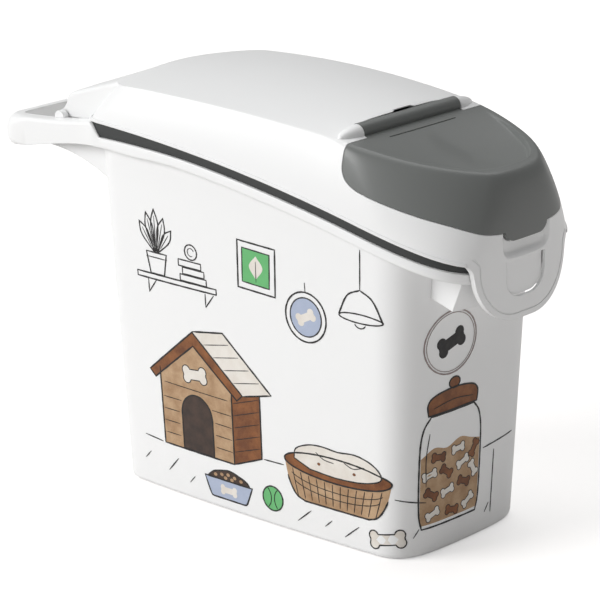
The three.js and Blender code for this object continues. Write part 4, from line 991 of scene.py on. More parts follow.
# %% [markdown]
# ## The lid
# The lid is the most demanding moulding. It is a thin hood with a stepped deck under the flap, a
# pouring mouth, a channel for the seal, a tongue with the hinge knuckles, and a latch tab with a
# window and a finger pocket. Its outer form less its hollow gives the wall, and the rest is
# joined or cut in the order in which a tool maker would think of it.


# %% Lid: tongue and knuckles
TONGUE_REAR_X, TONGUE_TOP_Z, TONGUE_ROUND, TONGUE_CROWN = -176, 322.5, 4, 2.4
KNUCKLE_OUTER = ear_inner - 0.8
KNUCKLE_INNER = KNUCKLE_OUTER - 36


def make_tongue(inset, foot):
    """The tongue that runs back between the arms, moved in by an inset."""
    half = KNUCKLE_OUTER - inset
    rear, root = TONGUE_REAR_X + inset, float(crease_z(REAR_X)) - 0.6
    slope = (root - TONGUE_TOP_Z) / (REAR_X - TONGUE_REAR_X)
    side_round = 3.2 if inset == 0 else 1.0
    low = TONGUE_TOP_Z - TONGUE_ROUND - inset
    stations = [(rear, low, TONGUE_CROWN)]
    for turn in np.radians([20, 40, 60, 80]):
        x = rear + TONGUE_ROUND * (1 - math.cos(turn))
        stations.append((x, low + TONGUE_ROUND * math.sin(turn) + slope * (x - rear),
                         TONGUE_CROWN))
    for share in np.linspace(0.1, 1, 8):
        x = rear + TONGUE_ROUND + (REAR_X - rear - TONGUE_ROUND) * share
        stations.append((x, TONGUE_TOP_Z + slope * (x - TONGUE_REAR_X) - inset,
                         TONGUE_CROWN + 3.1 * share))
    stations.append((ARM_ROOT_X, root - inset - 0.6, 5.5))
    rows = []
    for x, top, crown in stations:
        side = [[half - side_round * (1 - math.cos(turn)), top - side_round * (1 - math.sin(turn))]
                for turn in np.radians([0, 22.5, 45, 67.5])]
        row = [[-half, foot], [half, foot], [half, top - side_round - 2], *side]
        row += [[(half - side_round) * reach, top + crown * (1 - reach ** 2)]
                for reach in np.linspace(1, -1, 21)[1:-1]]
        row += [[-y, z] for y, z in side[::-1]] + [[-half, top - side_round - 2]]
        rows.append(np.column_stack([np.full(len(row), x), row]))
    return capped("tongue", rows)


def make_knuckle(side):
    """One knuckle: a web under the tongue, a barrel, and the pin that turns in the arm."""
    web = [[-176, 314.5], [-184.5, 303], [-179, 297.5], [-173.5, 303], [-168, 305.0],
           [-171.2, 314.5]]
    ends = sorted([KNUCKLE_INNER * side, KNUCKLE_OUTER * side])
    return join(push_out("knuckle", web, *ends, "y"), bar("barrel", HINGE_X, HINGE_Z, 5.5, *ends),
                bar("pin", HINGE_X, HINGE_Z, 3.6, KNUCKLE_INNER * side,
                    (KNUCKLE_OUTER + 5.4) * side))


tongue = cut(make_tongue(0, 303.2), make_tongue(2.4, 290))
join(tongue, make_knuckle(1), make_knuckle(-1))
print("tongue", len(tongue.data.polygons), "faces")

# %% [markdown]
# ## The lid's trim
# A bead runs along the lid's lower edge, a channel inside it holds the seal, two covers hide the
# ends of the flap's barrel, and the tab has a rolled edge, a fine line and a scoop for a finger.
# Each is made as a solid first, so that the lid's own step stays a short list of joins and cuts.

# %% Lid: bead, channel, ears and tab lip
TAB_REAR_X = 198.7


def rim_band(outer, inner, low, high):
    """A band that follows the rim between two distances inside it."""
    around = [level(rim_plan(outer), low), level(rim_plan(outer), high),
              level(rim_plan(inner), high), level(rim_plan(inner), low)]
    return mould("rim_band", around, ring_of_rows=True)


def channel_roof(x):
    """The top of the channel that holds the seal's tongue."""
    return lid_edge_z(x) + 4.8


bead = mould("bead", [
    level(offset(lid_plan, out), lambda x, r=rise: lid_edge_z(x) + r)
    for out, rise in ((-0.8, -0.3), (0.45, -0.3), (0.8, 0.1), (0.8, 1.7), (0.45, 2.2), (-0.8, 2.4))
], ring_of_rows=True)
cut(bead, brick("bead_end", (175, -63, 0), (BEYOND_X, 63, ABOVE_ALL_Z)))
channel = rim_band(0, 11.6, lambda x: lid_edge_z(x) + 0.8, lambda x: channel_roof(x) + 2.2)
keep(channel, hood("channel_room", 1.2, crown_rise))


def make_flap_ear(side):
    """A cover over the end of the flap's barrel, tapered outwards like a bullet."""
    turns = np.linspace(0, 2 * math.pi, 49)[:-1]
    rows = []
    for share in (0, 0, 0.15, 0.3, 0.45, 0.6, 0.72, 0.82, 0.9, 0.95, 0.98, 1):
        radius = 7.5 * math.sqrt(1 - share ** 1.45) if rows else 0
        rows.append(np.column_stack([AXIS_X - 0.3 + radius * np.cos(turns),
                                     np.full(48, (59.5 + 21.5 * share) * side),
                                     335.3 + radius * np.sin(turns)]))
    return mould("flap_ear", rows)


def make_tab_lip():
    """The rolled edge of the tab: a block less the tab's inside, the hood and the rim's room."""
    rim = rim_plan(-0.6)
    lip = brick("tab_lip", (TAB_REAR_X, -69.5, TAB_FOOT_Z - 5),
                (BEYOND_X, 69.5, float(lid_edge_z(229.9))))
    return cut(lip, push_out("lip_inside", tab_shape(4.4), TAB_REAR_X - 5, BEYOND_X + 5, "x"),
               hood("lip_depth", 4.2, crown_rise, TAB_FOOT_Z - 10),
               closed_wall("rim_room", [level(rim, 0), level(rim, lid_edge_z)], 0, lid_edge_z))


def pocket_form(grow):
    """The scoop for a fingertip. It narrows with its depth, so its lower edge is soft."""
    rows = []
    for wider, depth in ((-4.5, 4.0), (-2.2, 3.7), (-0.9, 3.1), (0.1, 2.2), (1.0, 1.2), (2.0, 0.4),
                         (3.2, -0.4), (3.2, -6)):
        face = cup(26.5 + grow + wider, 252.5 - grow - wider, 273.5, 7 + grow + wider, 12)
        edge = np.linspace(face[-1], face[0], 14)[1:-1]
        face = np.vstack([face, edge])
        rows.append(np.column_stack([front_x(face[:, 0], face[:, 1]) - depth - grow, face]))
    return capped("pocket", rows)


def tab_groove():
    """A fine line inside the rolled edge of the tab."""
    band = cut(push_out("tab_line", tab_shape(4.6), 226, BEYOND_X, "x"),
               push_out("tab_line_inside", tab_shape(5.5), 220, 255, "x"))
    return cut(keep(band, brick("tab_line_room", (220, -80, 190), (250, 80, 256))),
               hood("tab_line_depth", 0.45, crown_rise, TAB_FOOT_Z - 10))


print("bead", len(bead.data.polygons), "faces")

# %% [markdown]
# ## The lid as one piece
# The hood less its hollow is the wall. The hollow leaves room for the deck, the tab's edge, the
# scoop and the barrel's seat, so that each has a wall of its own, as it has in the mould.

# %% Lid: hood, deck and openings
WALL, FLAP_WALL, BARREL_RADIUS = 2.4, 2.6, 6.5
deck_drop = FLAP_WALL + 3.0
barrel_seat = BARREL_RADIUS + 0.6

lid = cut(hood("lid_shell", 0, crown_rise), flap_room(0))
join(lid, hood("deck", deck_drop, dish_rise, TAB_FOOT_Z - 2.5))
hollow = cut(hood("lid_hollow", WALL, crown_rise, TAB_FOOT_Z - 10), flap_room(WALL))
join(hollow, hood("deck_under", deck_drop + WALL, dish_rise, TAB_FOOT_Z - 15))
cut(hollow, make_tab_lip(), pocket_form(WALL), round_the_axis(barrel_seat + WALL, 61.6))
cut(lid, hollow)
edge_xs = np.linspace(-144, BEYOND_X, 60)
above = np.vstack([np.column_stack([edge_xs, lid_edge_z(edge_xs)]),
                   [[BEYOND_X, BEYOND_Z], [-144, BEYOND_Z]]])
keep(lid, join(push_out("above_edge", above, -BEYOND_HALF, BEYOND_HALF, "y"),
               push_out("tab_room", tab_shape(0), TAB_REAR_X, BEYOND_X, "x")))
join(lid, bead, make_flap_ear(1), make_flap_ear(-1), tongue, channel)
window = push_out("window", cup(24, 217.5, 247.8, 17), 226.5, BEYOND_X, "x")
slot_cut = join(brick("slot", (119.2, -11, 318), (121.5, 11, BEYOND_Z)),
                brick("slot_room", (104, -12.5, 322), (121.4, 12.5, 343.5)))
cut(lid, pocket_form(0), window, round_the_axis(barrel_seat, BARREL_HALF + 0.5), slot_cut,
    tab_groove())
for side in (1, -1):
    cut(lid, bar("flap_socket", AXIS_X, AXIS_Z, 3.3, 54 * side, 66 * side))
cut(lid, rim_band(5.2, 9.4, land_z, channel_roof))
front, mouth_half, mouth_round, mouth_rear = TOP_FRONT_X - 13, 58, 7.5, 146
mouth_turns = np.radians(np.linspace(90, 180, 8))
rear_corner = np.column_stack([
    mouth_rear + mouth_round + mouth_round * np.cos(mouth_turns),
    mouth_half - mouth_round + mouth_round * np.sin(mouth_turns)])
mouth_curve = bend([front - 60, -mouth_half], [front, -mouth_half], [front, 0], 18)
near_line = np.vstack([[[front - 60, -mouth_half]], mouth_curve])
mouth_shape = np.vstack([near_line, near_line[-2::-1] * [1, -1], rear_corner,
                         rear_corner[::-1] * [1, -1]])
cut(lid, push_out("pouring_mouth", mouth_shape, float(lid_edge_z(LID_FRONT_X)) + 16,
                  BEYOND_Z - 5, "z"))
lid.name = "crowned_lid"
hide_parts("lid")
finish_piece(lid, "lid_assembly", white_lid)

# %% [markdown]
# ## The flap
# The flap is the same hood over its own room, with a dished top, so that its crest catches the
# light as a soft D. A barrel along its rear edge turns on two pins, and a fine groove runs
# across the top just in front of it.

# %% Flap
def crest(plan):
    """The step down from the flap's crest into its dish."""
    gaps = plan[:, None, :] - crease_plan[None]
    depth = np.sqrt((gaps ** 2).sum(2)).min(1)
    crisp = ease(np.clip((plan[:, 1] + 32) / 36, 0, 1))
    step = ease(np.clip((depth - 4) / (8 - 5 * crisp), 0, 1))
    fade = np.clip((plan[:, 0] - 176 + 30 * crisp) / 42, 0, 1)
    return fade * (0.4 * crisp * np.clip(depth / 4, 0, 1)
                   - (1.0 + 2.5 * crisp) * step)


flap = cut(hood("flap_shell", 0, dish_rise, relief=crest),
           hood("flap_inside", FLAP_WALL + 2.4, dish_rise, TAB_FOOT_Z - 10))
keep(flap, flap_room(-0.5))
for side in (1, -1):
    ends = sorted([BARREL_HALF * side, 99.5 * side])
    cut(flap, bar("ear_room", AXIS_X, AXIS_Z - 0.5, 7.7, *ends))
join(flap, round_the_axis(BARREL_RADIUS, BARREL_HALF), round_the_axis(3, 65))
GROOVE_X = 141
groove_z = float(crease_z(GROOVE_X) + dish_rise(GROOVE_X))
cut(flap, brick("groove", (GROOVE_X - 0.55, -40.5, groove_z - 0.8),
                (GROOVE_X + 0.55, 40.5, groove_z + 8)))
flap.name = "pouring_flap"
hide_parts("pour_flap")
finish_piece(flap, "flap", grey_flap)

# %% [markdown]
# ## The seal
# A soft strip lies on the rim all round and shows as a dark band under the lid. Its outer face
# is slightly rounded, as an extruded strip's is, and a tongue on its top holds it in the lid.

# %% Seal
strip_rows = []
for inset, share in ((2.1, 0.0), (1.75, 0.10), (1.6, 0.32), (1.6, 0.68), (1.75, 0.90), (2.1, 1.0),
                     (8.7, 1.0), (9.2, 0.9), (9.2, 0.1), (8.7, 0.0)):
    strip_rows.append(level(rim_plan(inset), lambda x, s=share: (land_z(x) + 0.3) * (1 - s)
                            + (lid_edge_z(x) - 0.6) * s))
seal = mould("lid_gasket", strip_rows, ring_of_rows=True)
join(seal, rim_band(5.6, 9.0, lambda x: rim_z(x) + 3.75, lambda x: lid_edge_z(x) + 4.5))
seal.name = "lid_gasket"
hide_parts("lid_seal")
finish_piece(seal, "lid_assembly", dark_seal)

# %% [markdown]
# ## Printed drawing: places on the wall
# The long wall and the front carry a printed drawing, much as such bins often do. The drawing
# here is a generic pet's corner. A print could be an image, but drawn shapes stay sharp at any
# size. Each shape is laid out flat, with a distance round the wall and a height, and then put on
# the drafted, bowed wall, one to three tenths of a millimetre proud, as a film of ink is.


# %% Wall coordinates and curves
near_plan = np.vstack([foot_plan[:1], foot_plan[:0:-1]])[:len(foot_plan) // 2 + 1]
near_step = np.linalg.norm(np.diff(near_plan, axis=0), axis=1)
around_wall = np.concatenate([[0], np.cumsum(near_step)])
around_wall -= np.interp(0, near_plan[20:60, 0], around_wall[20:60])


def on_wall(points, proud):
    """Places round the wall and heights, in millimetres, put on the tub's outer face."""
    points = np.asarray(points, float)
    ring = []
    for plan in (offset(foot_plan, proud), offset(mouth_plan, proud)):
        near = np.vstack([plan[:1], plan[:0:-1]])
        walk = np.concatenate([around_wall, 2 * around_wall[-1] - around_wall[-2::-1]])[:len(near)]
        ring.append([np.interp(points[:, 0], walk, near[:, axis]) for axis in (0, 1)])
    share = points[:, 1] / MOUTH_HEIGHT
    lower, upper = np.array(ring[0]), np.array(ring[1])
    return np.vstack([lower + (upper - lower) * share, points[:, 1]]).T


def ring_points(x, z, half_x, half_z, start=0, end=360, count=40):
    """Points round an ellipse, or on an arc of it."""
    turns = np.radians(np.linspace(start, end, count))
    points = np.column_stack([x + half_x * np.cos(turns), z + half_z * np.sin(turns)])
    return points[:-1] if end - start == 360 else points


def curve(*points, steps=6):
    """A soft curve through points."""
    points = np.array(points, float)
    padded = np.vstack([2 * points[0] - points[1], points, 2 * points[-1] - points[-2]])
    out = [points[0]]
    for a, b, c, d in zip(padded, padded[1:], padded[2:], padded[3:]):
        for t in np.linspace(0, 1, steps + 1)[1:]:
            out.append(0.5 * (2 * b + (c - a) * t + (2 * a - 5 * b + 4 * c - d) * t * t
                              + (3 * b - a - 3 * c + d) * t ** 3))
    return np.array(out)


def fine(points, closed, longest=5.0):
    """The same line with no step longer than a few millimetres."""
    points = np.array(points, float)
    if closed:
        points = np.vstack([points, points[:1]])
    out = [points[0]]
    for a, b in zip(points, points[1:]):
        count = max(1, math.ceil(np.linalg.norm(b - a) / longest))
        out += [a + (b - a) * k / count for k in range(1, count + 1)]
    return np.array(out[:-1] if closed else out)


print("wall is", round(float(around_wall[-1] - around_wall[0])), "mm round one side")

# %% [markdown]
# ## Pen lines and fills
# A pen line is a thin closed strip that runs along its points, and a fill is a thin closed sheet.
# Both reach a little into the wall, so no gap opens under them where the wall curves.

# %% Strokes and patches
drawn = {}
LINE_PROUD, BURIED, PEN = 0.30, -0.2, 1.3


def stroke(ink, points, width=0.95, closed=False):
    """One pen line. Its width wavers a little, and it thins out at its ends."""
    points = fine(points, closed)
    along = np.roll(points, -1, 0) - np.roll(points, 1, 0)
    if not closed:
        along[0], along[-1] = points[1] - points[0], points[-1] - points[-2]
    along /= np.linalg.norm(along, axis=1)[:, None]
    side = np.column_stack([-along[:, 1], along[:, 0]])
    half = width * PEN / 2 * (1 + 0.14 * np.sin(np.arange(len(points)) * 1.9 + points[0, 0]))
    if not closed:
        half[[0, -1]] *= 0.45
    left, right = points + side * half[:, None], points - side * half[:, None]
    sections = np.stack([on_wall(left, LINE_PROUD), on_wall(right, LINE_PROUD),
                         on_wall(right, BURIED), on_wall(left, BURIED)], axis=1)
    if not closed:
        ends = [on_wall(points[[k]], 0.0).repeat(4, 0)[None] for k in (0, -1)]
        sections = np.concatenate([ends[0], sections, ends[1]])
    drawn.setdefault(ink, []).append(mould("line", sections, ring_of_rows=closed))


SPINE_STEP = 12


def patch(ink, outline, proud=0.10, spine=None):
    """A filled shape. Its points close on its middle, or on a line given as its spine."""
    outline = fine(outline, True)
    if spine is None:
        middle = outline.mean(0)[None].repeat(len(outline), 0)
    else:
        start, end = np.array(spine[0], float), np.array(spine[1], float)
        length = np.linalg.norm(end - start)
        share = np.clip(((outline - start) @ (end - start)) / length ** 2, 0, 1)
        steps = max(1, round(length / SPINE_STEP))
        middle = start + (np.round(share * steps) / steps)[:, None] * (end - start)
    rows = [on_wall(middle, BURIED), on_wall(outline, BURIED)]
    rows += [on_wall(outline + (middle - outline) * s, proud) for s in np.linspace(0, 1, 8)]
    drawn.setdefault(ink, []).append(mould("patch", rows))


def lines(*pen_lines, width=0.95, closed=False):
    """Black pen lines of one width."""
    for points in pen_lines:
        stroke("black_line", points, width, closed)


def two_sided(x, *left, steps=5):
    """A shape from the curve of its left side, and the same curve mirrored back."""
    side = curve(*left, steps=steps)
    return np.vstack([side, side[::-1] * [-1, 1]]) + [x, 0]


def leaf(root, left, tip, right):
    """A leaf's outline, bowed through a point on either side."""
    return np.vstack([curve(root, left, tip), curve(tip, right, root)[1:-1]])


def bone(x, z, length, lobe, tilt=0):
    """The outline of a bone."""
    right = np.vstack([
        ring_points(length / 2, -0.8 * lobe, lobe, lobe, 195, 395, 16),
        ring_points(length / 2, 0.8 * lobe, lobe, lobe, -35, 165, 16)])
    outline = np.vstack([right, -right])
    c, s = math.cos(math.radians(tilt)), math.sin(math.radians(tilt))
    return outline @ np.array([[c, s], [-s, c]]) + [x, z]


print("a bone has", len(bone(0, 0, 20, 4)), "points")

# %% [markdown]
# ## Inks
# The print has seven coloured inks and a black line. A printed colour isn't even: it is laid down
# in fine dots and takes a little more in some places, so each ink has a broad drift, a fine
# speckle and a second colour that comes through it. One group holds this, with a scale for each.


# %% Node group and materials of the inks
ink_group, ink_in, ink_out = new_group("printed_ink", {
    "Base": (0.5, 0.3, 0.2, 1), "Second": (0.3, 0.15, 0.1, 1), "Broad Scale": 60.0,
    "Fine Scale": 900.0, "Through": 0.5})
ink_place = add_node(ink_group, "ShaderNodeTexCoord")
broad = add_node(ink_group, "ShaderNodeTexNoise", Detail=4.0, Roughness=0.6)
speckle = add_node(ink_group, "ShaderNodeTexVoronoi")
spread = add_node(ink_group, "ShaderNodeMapRange", From_Min=0.35, From_Max=0.68)
speck = number_node(ink_group, "MULTIPLY_ADD", None, 0.25)
through = number_node(ink_group, "MULTIPLY", use_clamp=True)
two_inks = add_node(ink_group, "ShaderNodeMix", data_type="RGBA")
ink_rough = number_node(ink_group, "MULTIPLY_ADD", None, 0.12, 0.44)
MIX_SHARE, MIX_FIRST, MIX_SECOND, MIX_RESULT = 0, 6, 7, 2
wire(ink_group, (ink_place, "Object", broad, "Vector"), (ink_place, "Object", speckle, "Vector"),
     (ink_in, "Broad Scale", broad, "Scale"), (ink_in, "Fine Scale", speckle, "Scale"),
     (broad, "Fac", spread, "Value"), (speckle, "Distance", speck, 0),
     (spread, "Result", speck, 2), (speck, 0, through, 0), (ink_in, "Through", through, 1),
     (through, 0, two_inks, MIX_SHARE), (ink_in, "Base", two_inks, MIX_FIRST),
     (ink_in, "Second", two_inks, MIX_SECOND), (two_inks, MIX_RESULT, ink_out, "Color"),
     (speckle, "Distance", ink_rough, 0), (ink_rough, 0, ink_out, "Roughness"),
     (broad, "Fac", ink_out, "Height"))


def ink(name, base, second, broad_scale, share):
    """A printed ink with a second colour coming through it."""
    return fed_material("ink_" + name, ink_group, 0.4, 0.2, 0.00002, Base=(*base, 1),
                        Second=(*second, 1), Broad_Scale=broad_scale, Through=share)[0]


INK_VALUES = {
    "black_line": ((0.010, 0.010, 0.011), (0.045, 0.042, 0.040), 240, 0.5),
    "brown": ((0.290, 0.110, 0.035), (0.145, 0.050, 0.018), 75, 0.9),
    "dark": ((0.035, 0.024, 0.020), (0.085, 0.050, 0.035), 90, 0.7),
    "tan": ((0.540, 0.370, 0.225), (0.350, 0.205, 0.105), 70, 0.85),
    "cream": ((0.820, 0.785, 0.730), (0.640, 0.570, 0.490), 55, 0.45),
    "green": ((0.155, 0.500, 0.190), (0.115, 0.420, 0.150), 60, 0.5),
    "blue_grey": ((0.440, 0.500, 0.640), (0.370, 0.430, 0.560), 60, 0.5),
    "taupe": ((0.330, 0.270, 0.260), (0.220, 0.180, 0.175), 120, 0.6),
}
inks = {name: ink(name, *values) for name, values in INK_VALUES.items()}
print("inks", sorted(inks))

# %% [markdown]
# ## The drawing
# A kennel, a basket with a cushion, a bowl, a ball, a shelf with a plant, a lamp and two small
# pictures stand in loose black lines with a few filled colours. On the front stand a jar of
# treats and a plain ring with a bone. Fills come first, and lines lie over them.


# %% Kennel and bowl
def kennel():
    """Walls, roof and door in filled colours, then outlines, boards and tiles."""
    patch("tan", [[-60, 44], [18, 44], [18, 112], [-21, 143], [-60, 112]])
    patch("brown", [[18, 44], [48, 56], [48, 118], [18, 112]])
    patch("brown", [[-72, 106], [-66, 100.5], [-21.03, 137], [-21.03, 149]], 0.16)
    patch("brown", [[-20.97, 149], [-20.97, 137], [24, 100.5], [30, 106]], 0.16)
    patch("cream", [[-21, 149], [30, 106], [60, 113.5], [12, 155]], 0.14)
    door = np.vstack([[[-38, 44.6], [-4, 44.6]], ring_points(-21, 76, 17, 18, 0, 180, 18)])
    patch("dark", door, 0.18)
    sign = bone(-21, 112, 18, 4.2, 6)
    patch("cream", sign, 0.18, ((-29, 111.4), (-13, 112.6)))
    lines(sign, width=0.6, closed=True)
    lines(door, width=1.0, closed=True)
    lines([[-60.3, 111], [-60, 44], [18, 44], [18.2, 105]],
          [[18, 44], [48, 56], [48.2, 110.5]], width=1.05)
    lines([[-72, 106], [-66, 100.5], [-21, 137], [24, 100.5], [30, 106], [-21, 149]],
          width=1.05, closed=True)
    lines([[-21, 149.5], [12, 155.5], [60.4, 113.4], [30, 105.6]], width=1.05)
    for z, left, right in ((54, -41, -1), (64.5, -41, -1), (75, -41, -1), (85.5, -38, -4)):
        lines([[-58.5, z], [left, z + 0.3]], [[right, z + 0.2], [16.6, z]],
              [[19.6, z + 1.2], [46.6, z + 10.5]], width=0.5)
    lines([[-56, 98.5], [14, 98]], [[19.6, 97.2], [46.6, 106.5]], width=0.5)
    for share in (0.2, 0.4, 0.6, 0.8):
        x, z = -21 + 51 * share, 149 - 43 * share
        lines([[x + 1.5, z + 0.4], [x + 28.5, z + 6.3]], width=0.5)


def bowl():
    """A bowl with a bone on its side, and a heap of kibble in it."""
    body = two_sided(10, [-26, 27], [-20, 12.5], [-17, 10.5], steps=4)
    kibble = curve([-13, 27], [-6, 32.5], [3, 35], [12, 36.4], [22, 34], [30, 31], [33.5, 27],
                   steps=4)
    patch("dark", kibble, 0.14, ((-6, 28), (27, 28)))
    patch("blue_grey", body, 0.18, ((-5, 19), (25, 19)))
    lines(body, width=1.05, closed=True)
    lines(kibble, width=0.85)
    for x, z in ((-4, 30), (3, 31.5), (10, 32.6), (17, 31.4), (24, 30.2), (7, 29.2), (14, 29)):
        patch("tan", ring_points(x, z, 1.9, 1.5, count=11), 0.22)
    patch("cream", bone(10, 18.5, 13, 2.5), 0.24, ((4, 18.5), (16, 18.5)))


kennel()
bowl()
print("kennel and bowl", sum(len(v) for v in drawn.values()), "shapes")

# %% [markdown]
# ## Basket, ball and floor
# The basket's weave is only hinted at by thin lines, as in a quick sketch. Short slanted strokes
# say that the floor is boarded, and cost far less than boards would.


# %% Basket, ball and floor
def basket():
    """A woven basket with a cushion in it."""
    body = two_sided(124, [-52, 64], [-48, 47], [-41, 35], [-32, 31])
    rim = ring_points(124, 64, 52, 10.5, count=61)
    cushion = curve([82, 66], [84, 74.5], [97, 80.5], [111, 82], [126, 81], [143, 82.5],
                    [158, 79], [166, 73], [166.5, 66], [150, 60.5], [124, 58.5], [98, 60], steps=4)
    patch("tan", body, 0.10, ((92, 47), (156, 47)))
    patch("brown", rim, 0.14, ((84, 64), (164, 64)))
    patch("cream", cushion, 0.20, ((95, 70), (154, 70)))
    lines(rim, width=1.05, closed=True)
    lines(body[4:-4], width=1.05)
    lines(cushion, width=0.85, closed=True)
    for x in np.linspace(80, 168, 12):
        bow = (x - 124) / 44
        top = 64 - 10.5 * math.sqrt(max(1 - ((x - 124) / 52) ** 2, 0)) - 1.5
        lines(curve([x, top], [x - 2.2 * bow, 46], [x - 5.5 * bow, 33.2]), width=0.5)
    lines(*(ring_points(124, 62 - drop, 49.5 - drop * 0.45, 10.5, 196, 344) for drop in (6, 12)),
          width=0.5)
    lines(curve([104, 76], [112, 71.5], [122, 70.5]), curve([132, 73.5], [141, 70.5], [152, 74]),
          width=0.6)
    for x, z in ((142, 66), (107, 66.5)):
        patch("brown", ring_points(x, z, 1.6, 1.3, count=12), 0.26)


def ball(x, z, radius):
    """A ball with a seam on either side."""
    patch("green", ring_points(x, z, radius, radius), 0.12)
    lines(ring_points(x, z, radius, radius), width=0.9, closed=True)
    for side, start in ((-1, -50), (1, 130)):
        lines(ring_points(x + side * radius * 1.1, z, radius * 0.95, radius * 1.05, start,
                          start + 100, 14), width=0.6)


basket()
ball(58, 24.5, 10.5)
toy = bone(172, 17, 22, 4.3, 8)
patch("cream", toy, 0.12, ((162, 15.6), (182, 18.4)))
lines(toy, width=0.8, closed=True)
lines([[-84, 45.5], [-63, 44]], [[50, 56.5], [71, 57]], [[178, 52], [204, 46.5]],
      [[84, 12], [98, 24]], [[112, 14], [119, 20.5]], [[132, 10], [146, 22]],
      [[-58, 20], [-46, 33]], [[-34, 15], [-28, 21.5]], [[-86, 24], [-79, 31]], width=0.75)
print("basket, ball and floor", sum(len(v) for v in drawn.values()), "shapes")

# %% [markdown]
# ## Upper row
# The things on the wall are mostly line work, so the upper half stays light. A leaf is one
# curve out to its tip and one back, and the plant repeats it at five slants.


# %% Shelf, plant, lamp and pictures
def shelf():
    """A shelf on two brackets, with a plant in a pot and a ring on three books."""
    lines([[-78, 190], [8, 191.5], [8, 187], [-78, 185.6]], closed=True)
    lines(*([[x, 185.4], [x, 174], [x + 9, 185.6]] for x in (-66, -4)), width=0.8)
    lines([[-66, 209], [-44, 209.3], [-47.5, 191], [-62.5, 190.7]], closed=True)
    lines([[-66.5, 204.6], [-43.6, 205]], width=0.6)
    for lean, tall in ((-17, 24), (-9, 33), (0, 37), (10, 31), (18, 22)):
        tip, root = np.array([-55 + lean, 209.5 + tall]), np.array([-55 + lean * 0.12, 209.5])
        way = (tip - root) / np.linalg.norm(tip - root)
        across = np.array([-way[1], way[0]]) * 4.0
        middle = root + (tip - root) * 0.62
        lines(leaf(root, middle + across, tip, middle - across), width=0.8, closed=True)
        lines([root + way * 5, tip - way * 6], width=0.45)
    for low, left, right in ((191.6, -30, -2), (197.8, -27, -4), (204.0, -31, -7)):
        lines([[left, low], [right, low + 0.2], [right, low + 5.6], [left, low + 5.4]],
              width=0.75, closed=True)
    lines(ring_points(-17, 217.5, 6.4, 6.4), width=0.8, closed=True)
    lines(ring_points(-17, 217.5, 3.4, 3.4, 20, 300, 22), width=0.45)


def lamp():
    """A hanging lamp: its cord, the two sides of its shade, its rim and its bulb."""
    lines([[150, 254], [149.6, 221]], width=0.7)
    lines(curve([149.6, 221], [138, 215], [131, 201], [130, 198]),
          curve([149.6, 221], [161, 214.6], [168, 200], [169, 197.4]))
    lines(ring_points(149.5, 197.6, 19.6, 3.6), width=0.8, closed=True)
    lines(ring_points(149.5, 194.2, 5.2, 4.4, 200, 340, 14), width=0.7)


def pictures():
    """A square picture of a leaf, and a round one of a bone."""
    green = [[36, 205], [63, 203.6], [64, 232], [37, 233.4]]
    patch("green", green, 0.12)
    lines(green, width=0.75, closed=True)
    lines([[31.5, 199.5], [68.6, 198], [69.6, 237.6], [32.4, 239]], width=1.0, closed=True)
    blade = leaf([50, 209], [43.5, 219], [50.5, 228.5], [57, 219])
    patch("cream", blade, 0.20, ((50, 213), (50.4, 225)))
    lines([[50, 206.5], [50.3, 224]], width=0.5)
    patch("blue_grey", ring_points(98, 188, 15, 16), 0.12)
    lines(ring_points(98, 188, 15, 16), width=0.75, closed=True)
    lines(ring_points(98, 188, 19.5, 20.6), width=1.0, closed=True)
    lines([[98, 209], [97.6, 216.5]], width=0.6)
    patch("cream", bone(98, 188, 13, 3.0, 28), 0.20, ((93, 185.3), (103, 190.7)))


shelf()
lamp()
pictures()
print("shelf, lamp and pictures", sum(len(v) for v in drawn.values()), "shapes")

# %% [markdown]
# ## Front, and the finished print
# The jar's treats are one bone, turned and set down thirteen times. At the end all shapes of one
# ink are joined into one piece, as one plate prints all of its colour.


# %% Jar and ring on the front, and one piece for each ink
JAR_PLACE, RING_PLACE, RING_Z = 231.0, 226.0, 176
TREATS = ((-20, 35, 20), (2, 33, -12), (21, 36, 35), (-22, 52, -30), (-4, 51, 14), (15, 54, -20),
          (-24, 69, 12), (-6, 68, -35), (13, 71, 22), (-15, 82, -8), (7, 84, 4), (26, 79, 60),
          (26, 62, -60))


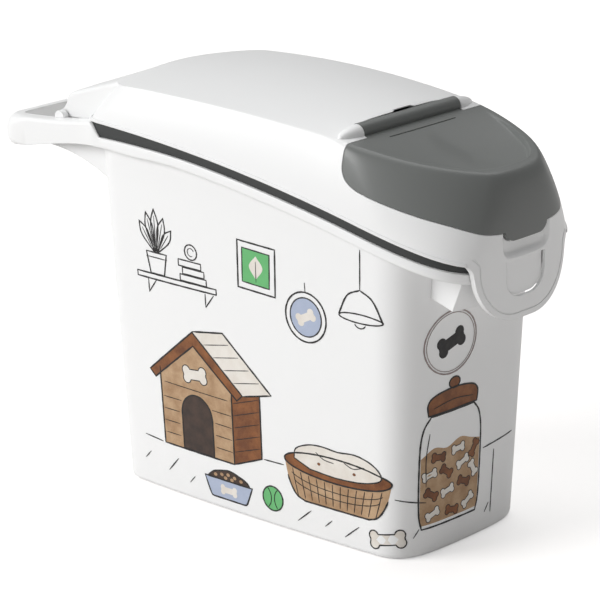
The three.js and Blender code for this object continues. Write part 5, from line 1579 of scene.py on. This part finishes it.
def jar(x):
    """A glass jar with a wooden cover, filled with small bones."""
    glass = two_sided(x, [-31, 24], [-34, 40], [-34, 88], [-31, 108], [-24, 118])
    fill = [x, 0] + np.vstack([
        [[-32, 27], [-33, 40], [-33, 84]],
        curve([-33, 84], [-20, 91], [-6, 88], [9, 93], [22, 89], [33, 86], steps=4)[1:-1],
        [[33, 86], [33, 40], [32, 27]]])
    cover = [x, 0] + curve([-27, 119], [-27.5, 129], [-20, 135], [0, 137.5], [20, 135],
                           [27.5, 129], [27, 119], steps=4)
    patch("tan", fill, 0.10, ((x - 14, 50), (x + 14, 50)))
    patch("brown", cover, 0.12, ((x - 16, 126), (x + 16, 126)))
    lines(glass, width=1.05, closed=True)
    lines(cover, width=1.0, closed=True)
    knob = ring_points(x, 141.5, 6, 4.6)
    patch("brown", knob, 0.12)
    lines(knob, width=0.9, closed=True)
    lines(curve([x - 22, 124.5], [x, 127.5], [x + 22, 124.8]), width=0.5)
    for place, (dx, z, tilt) in enumerate(TREATS):
        shape = bone(x + dx, z, 10.5, 2.4, tilt)
        c, s = math.cos(math.radians(tilt)) * 4.5, math.sin(math.radians(tilt)) * 4.5
        patch(("cream", "brown")[place % 2], shape, 0.18,
              ((x + dx - c, z - s), (x + dx + c, z + s)))
        lines(shape, width=0.45, closed=True)
    lines(curve([x - 27.5, 60], [x - 28, 84], [x - 25, 104]), width=0.6)


jar(JAR_PLACE)
lines([[JAR_PLACE + 38, 75], [JAR_PLACE + 78, 78]], width=0.8)
lines([[JAR_PLACE + 52, 16], [JAR_PLACE + 52.5, 70]],
      *([[JAR_PLACE + dx, 18], [JAR_PLACE + dx + 5, 25]] for dx in (-38, 44)), width=0.7)
stroke("taupe", ring_points(RING_PLACE, RING_Z, 27.5, 26, count=72), 0.9, True)
stroke("taupe", ring_points(RING_PLACE, RING_Z, 25.4, 24, count=72), 0.45, True)
patch("black_line", bone(RING_PLACE, RING_Z, 20, 4.8, 18), 0.16,
      ((RING_PLACE - 9, RING_Z - 3), (RING_PLACE + 9, RING_Z + 3)))
for colour, shapes in sorted(drawn.items()):
    only(shapes[0])
    for shape in shapes:
        shape.select_set(True)
    bpy.ops.object.join()
    shapes[0].name = shapes[0].data.name = "print_" + colour
    finish_piece(shapes[0], "bin", inks[colour])
print("print in", len(drawn), "inks")
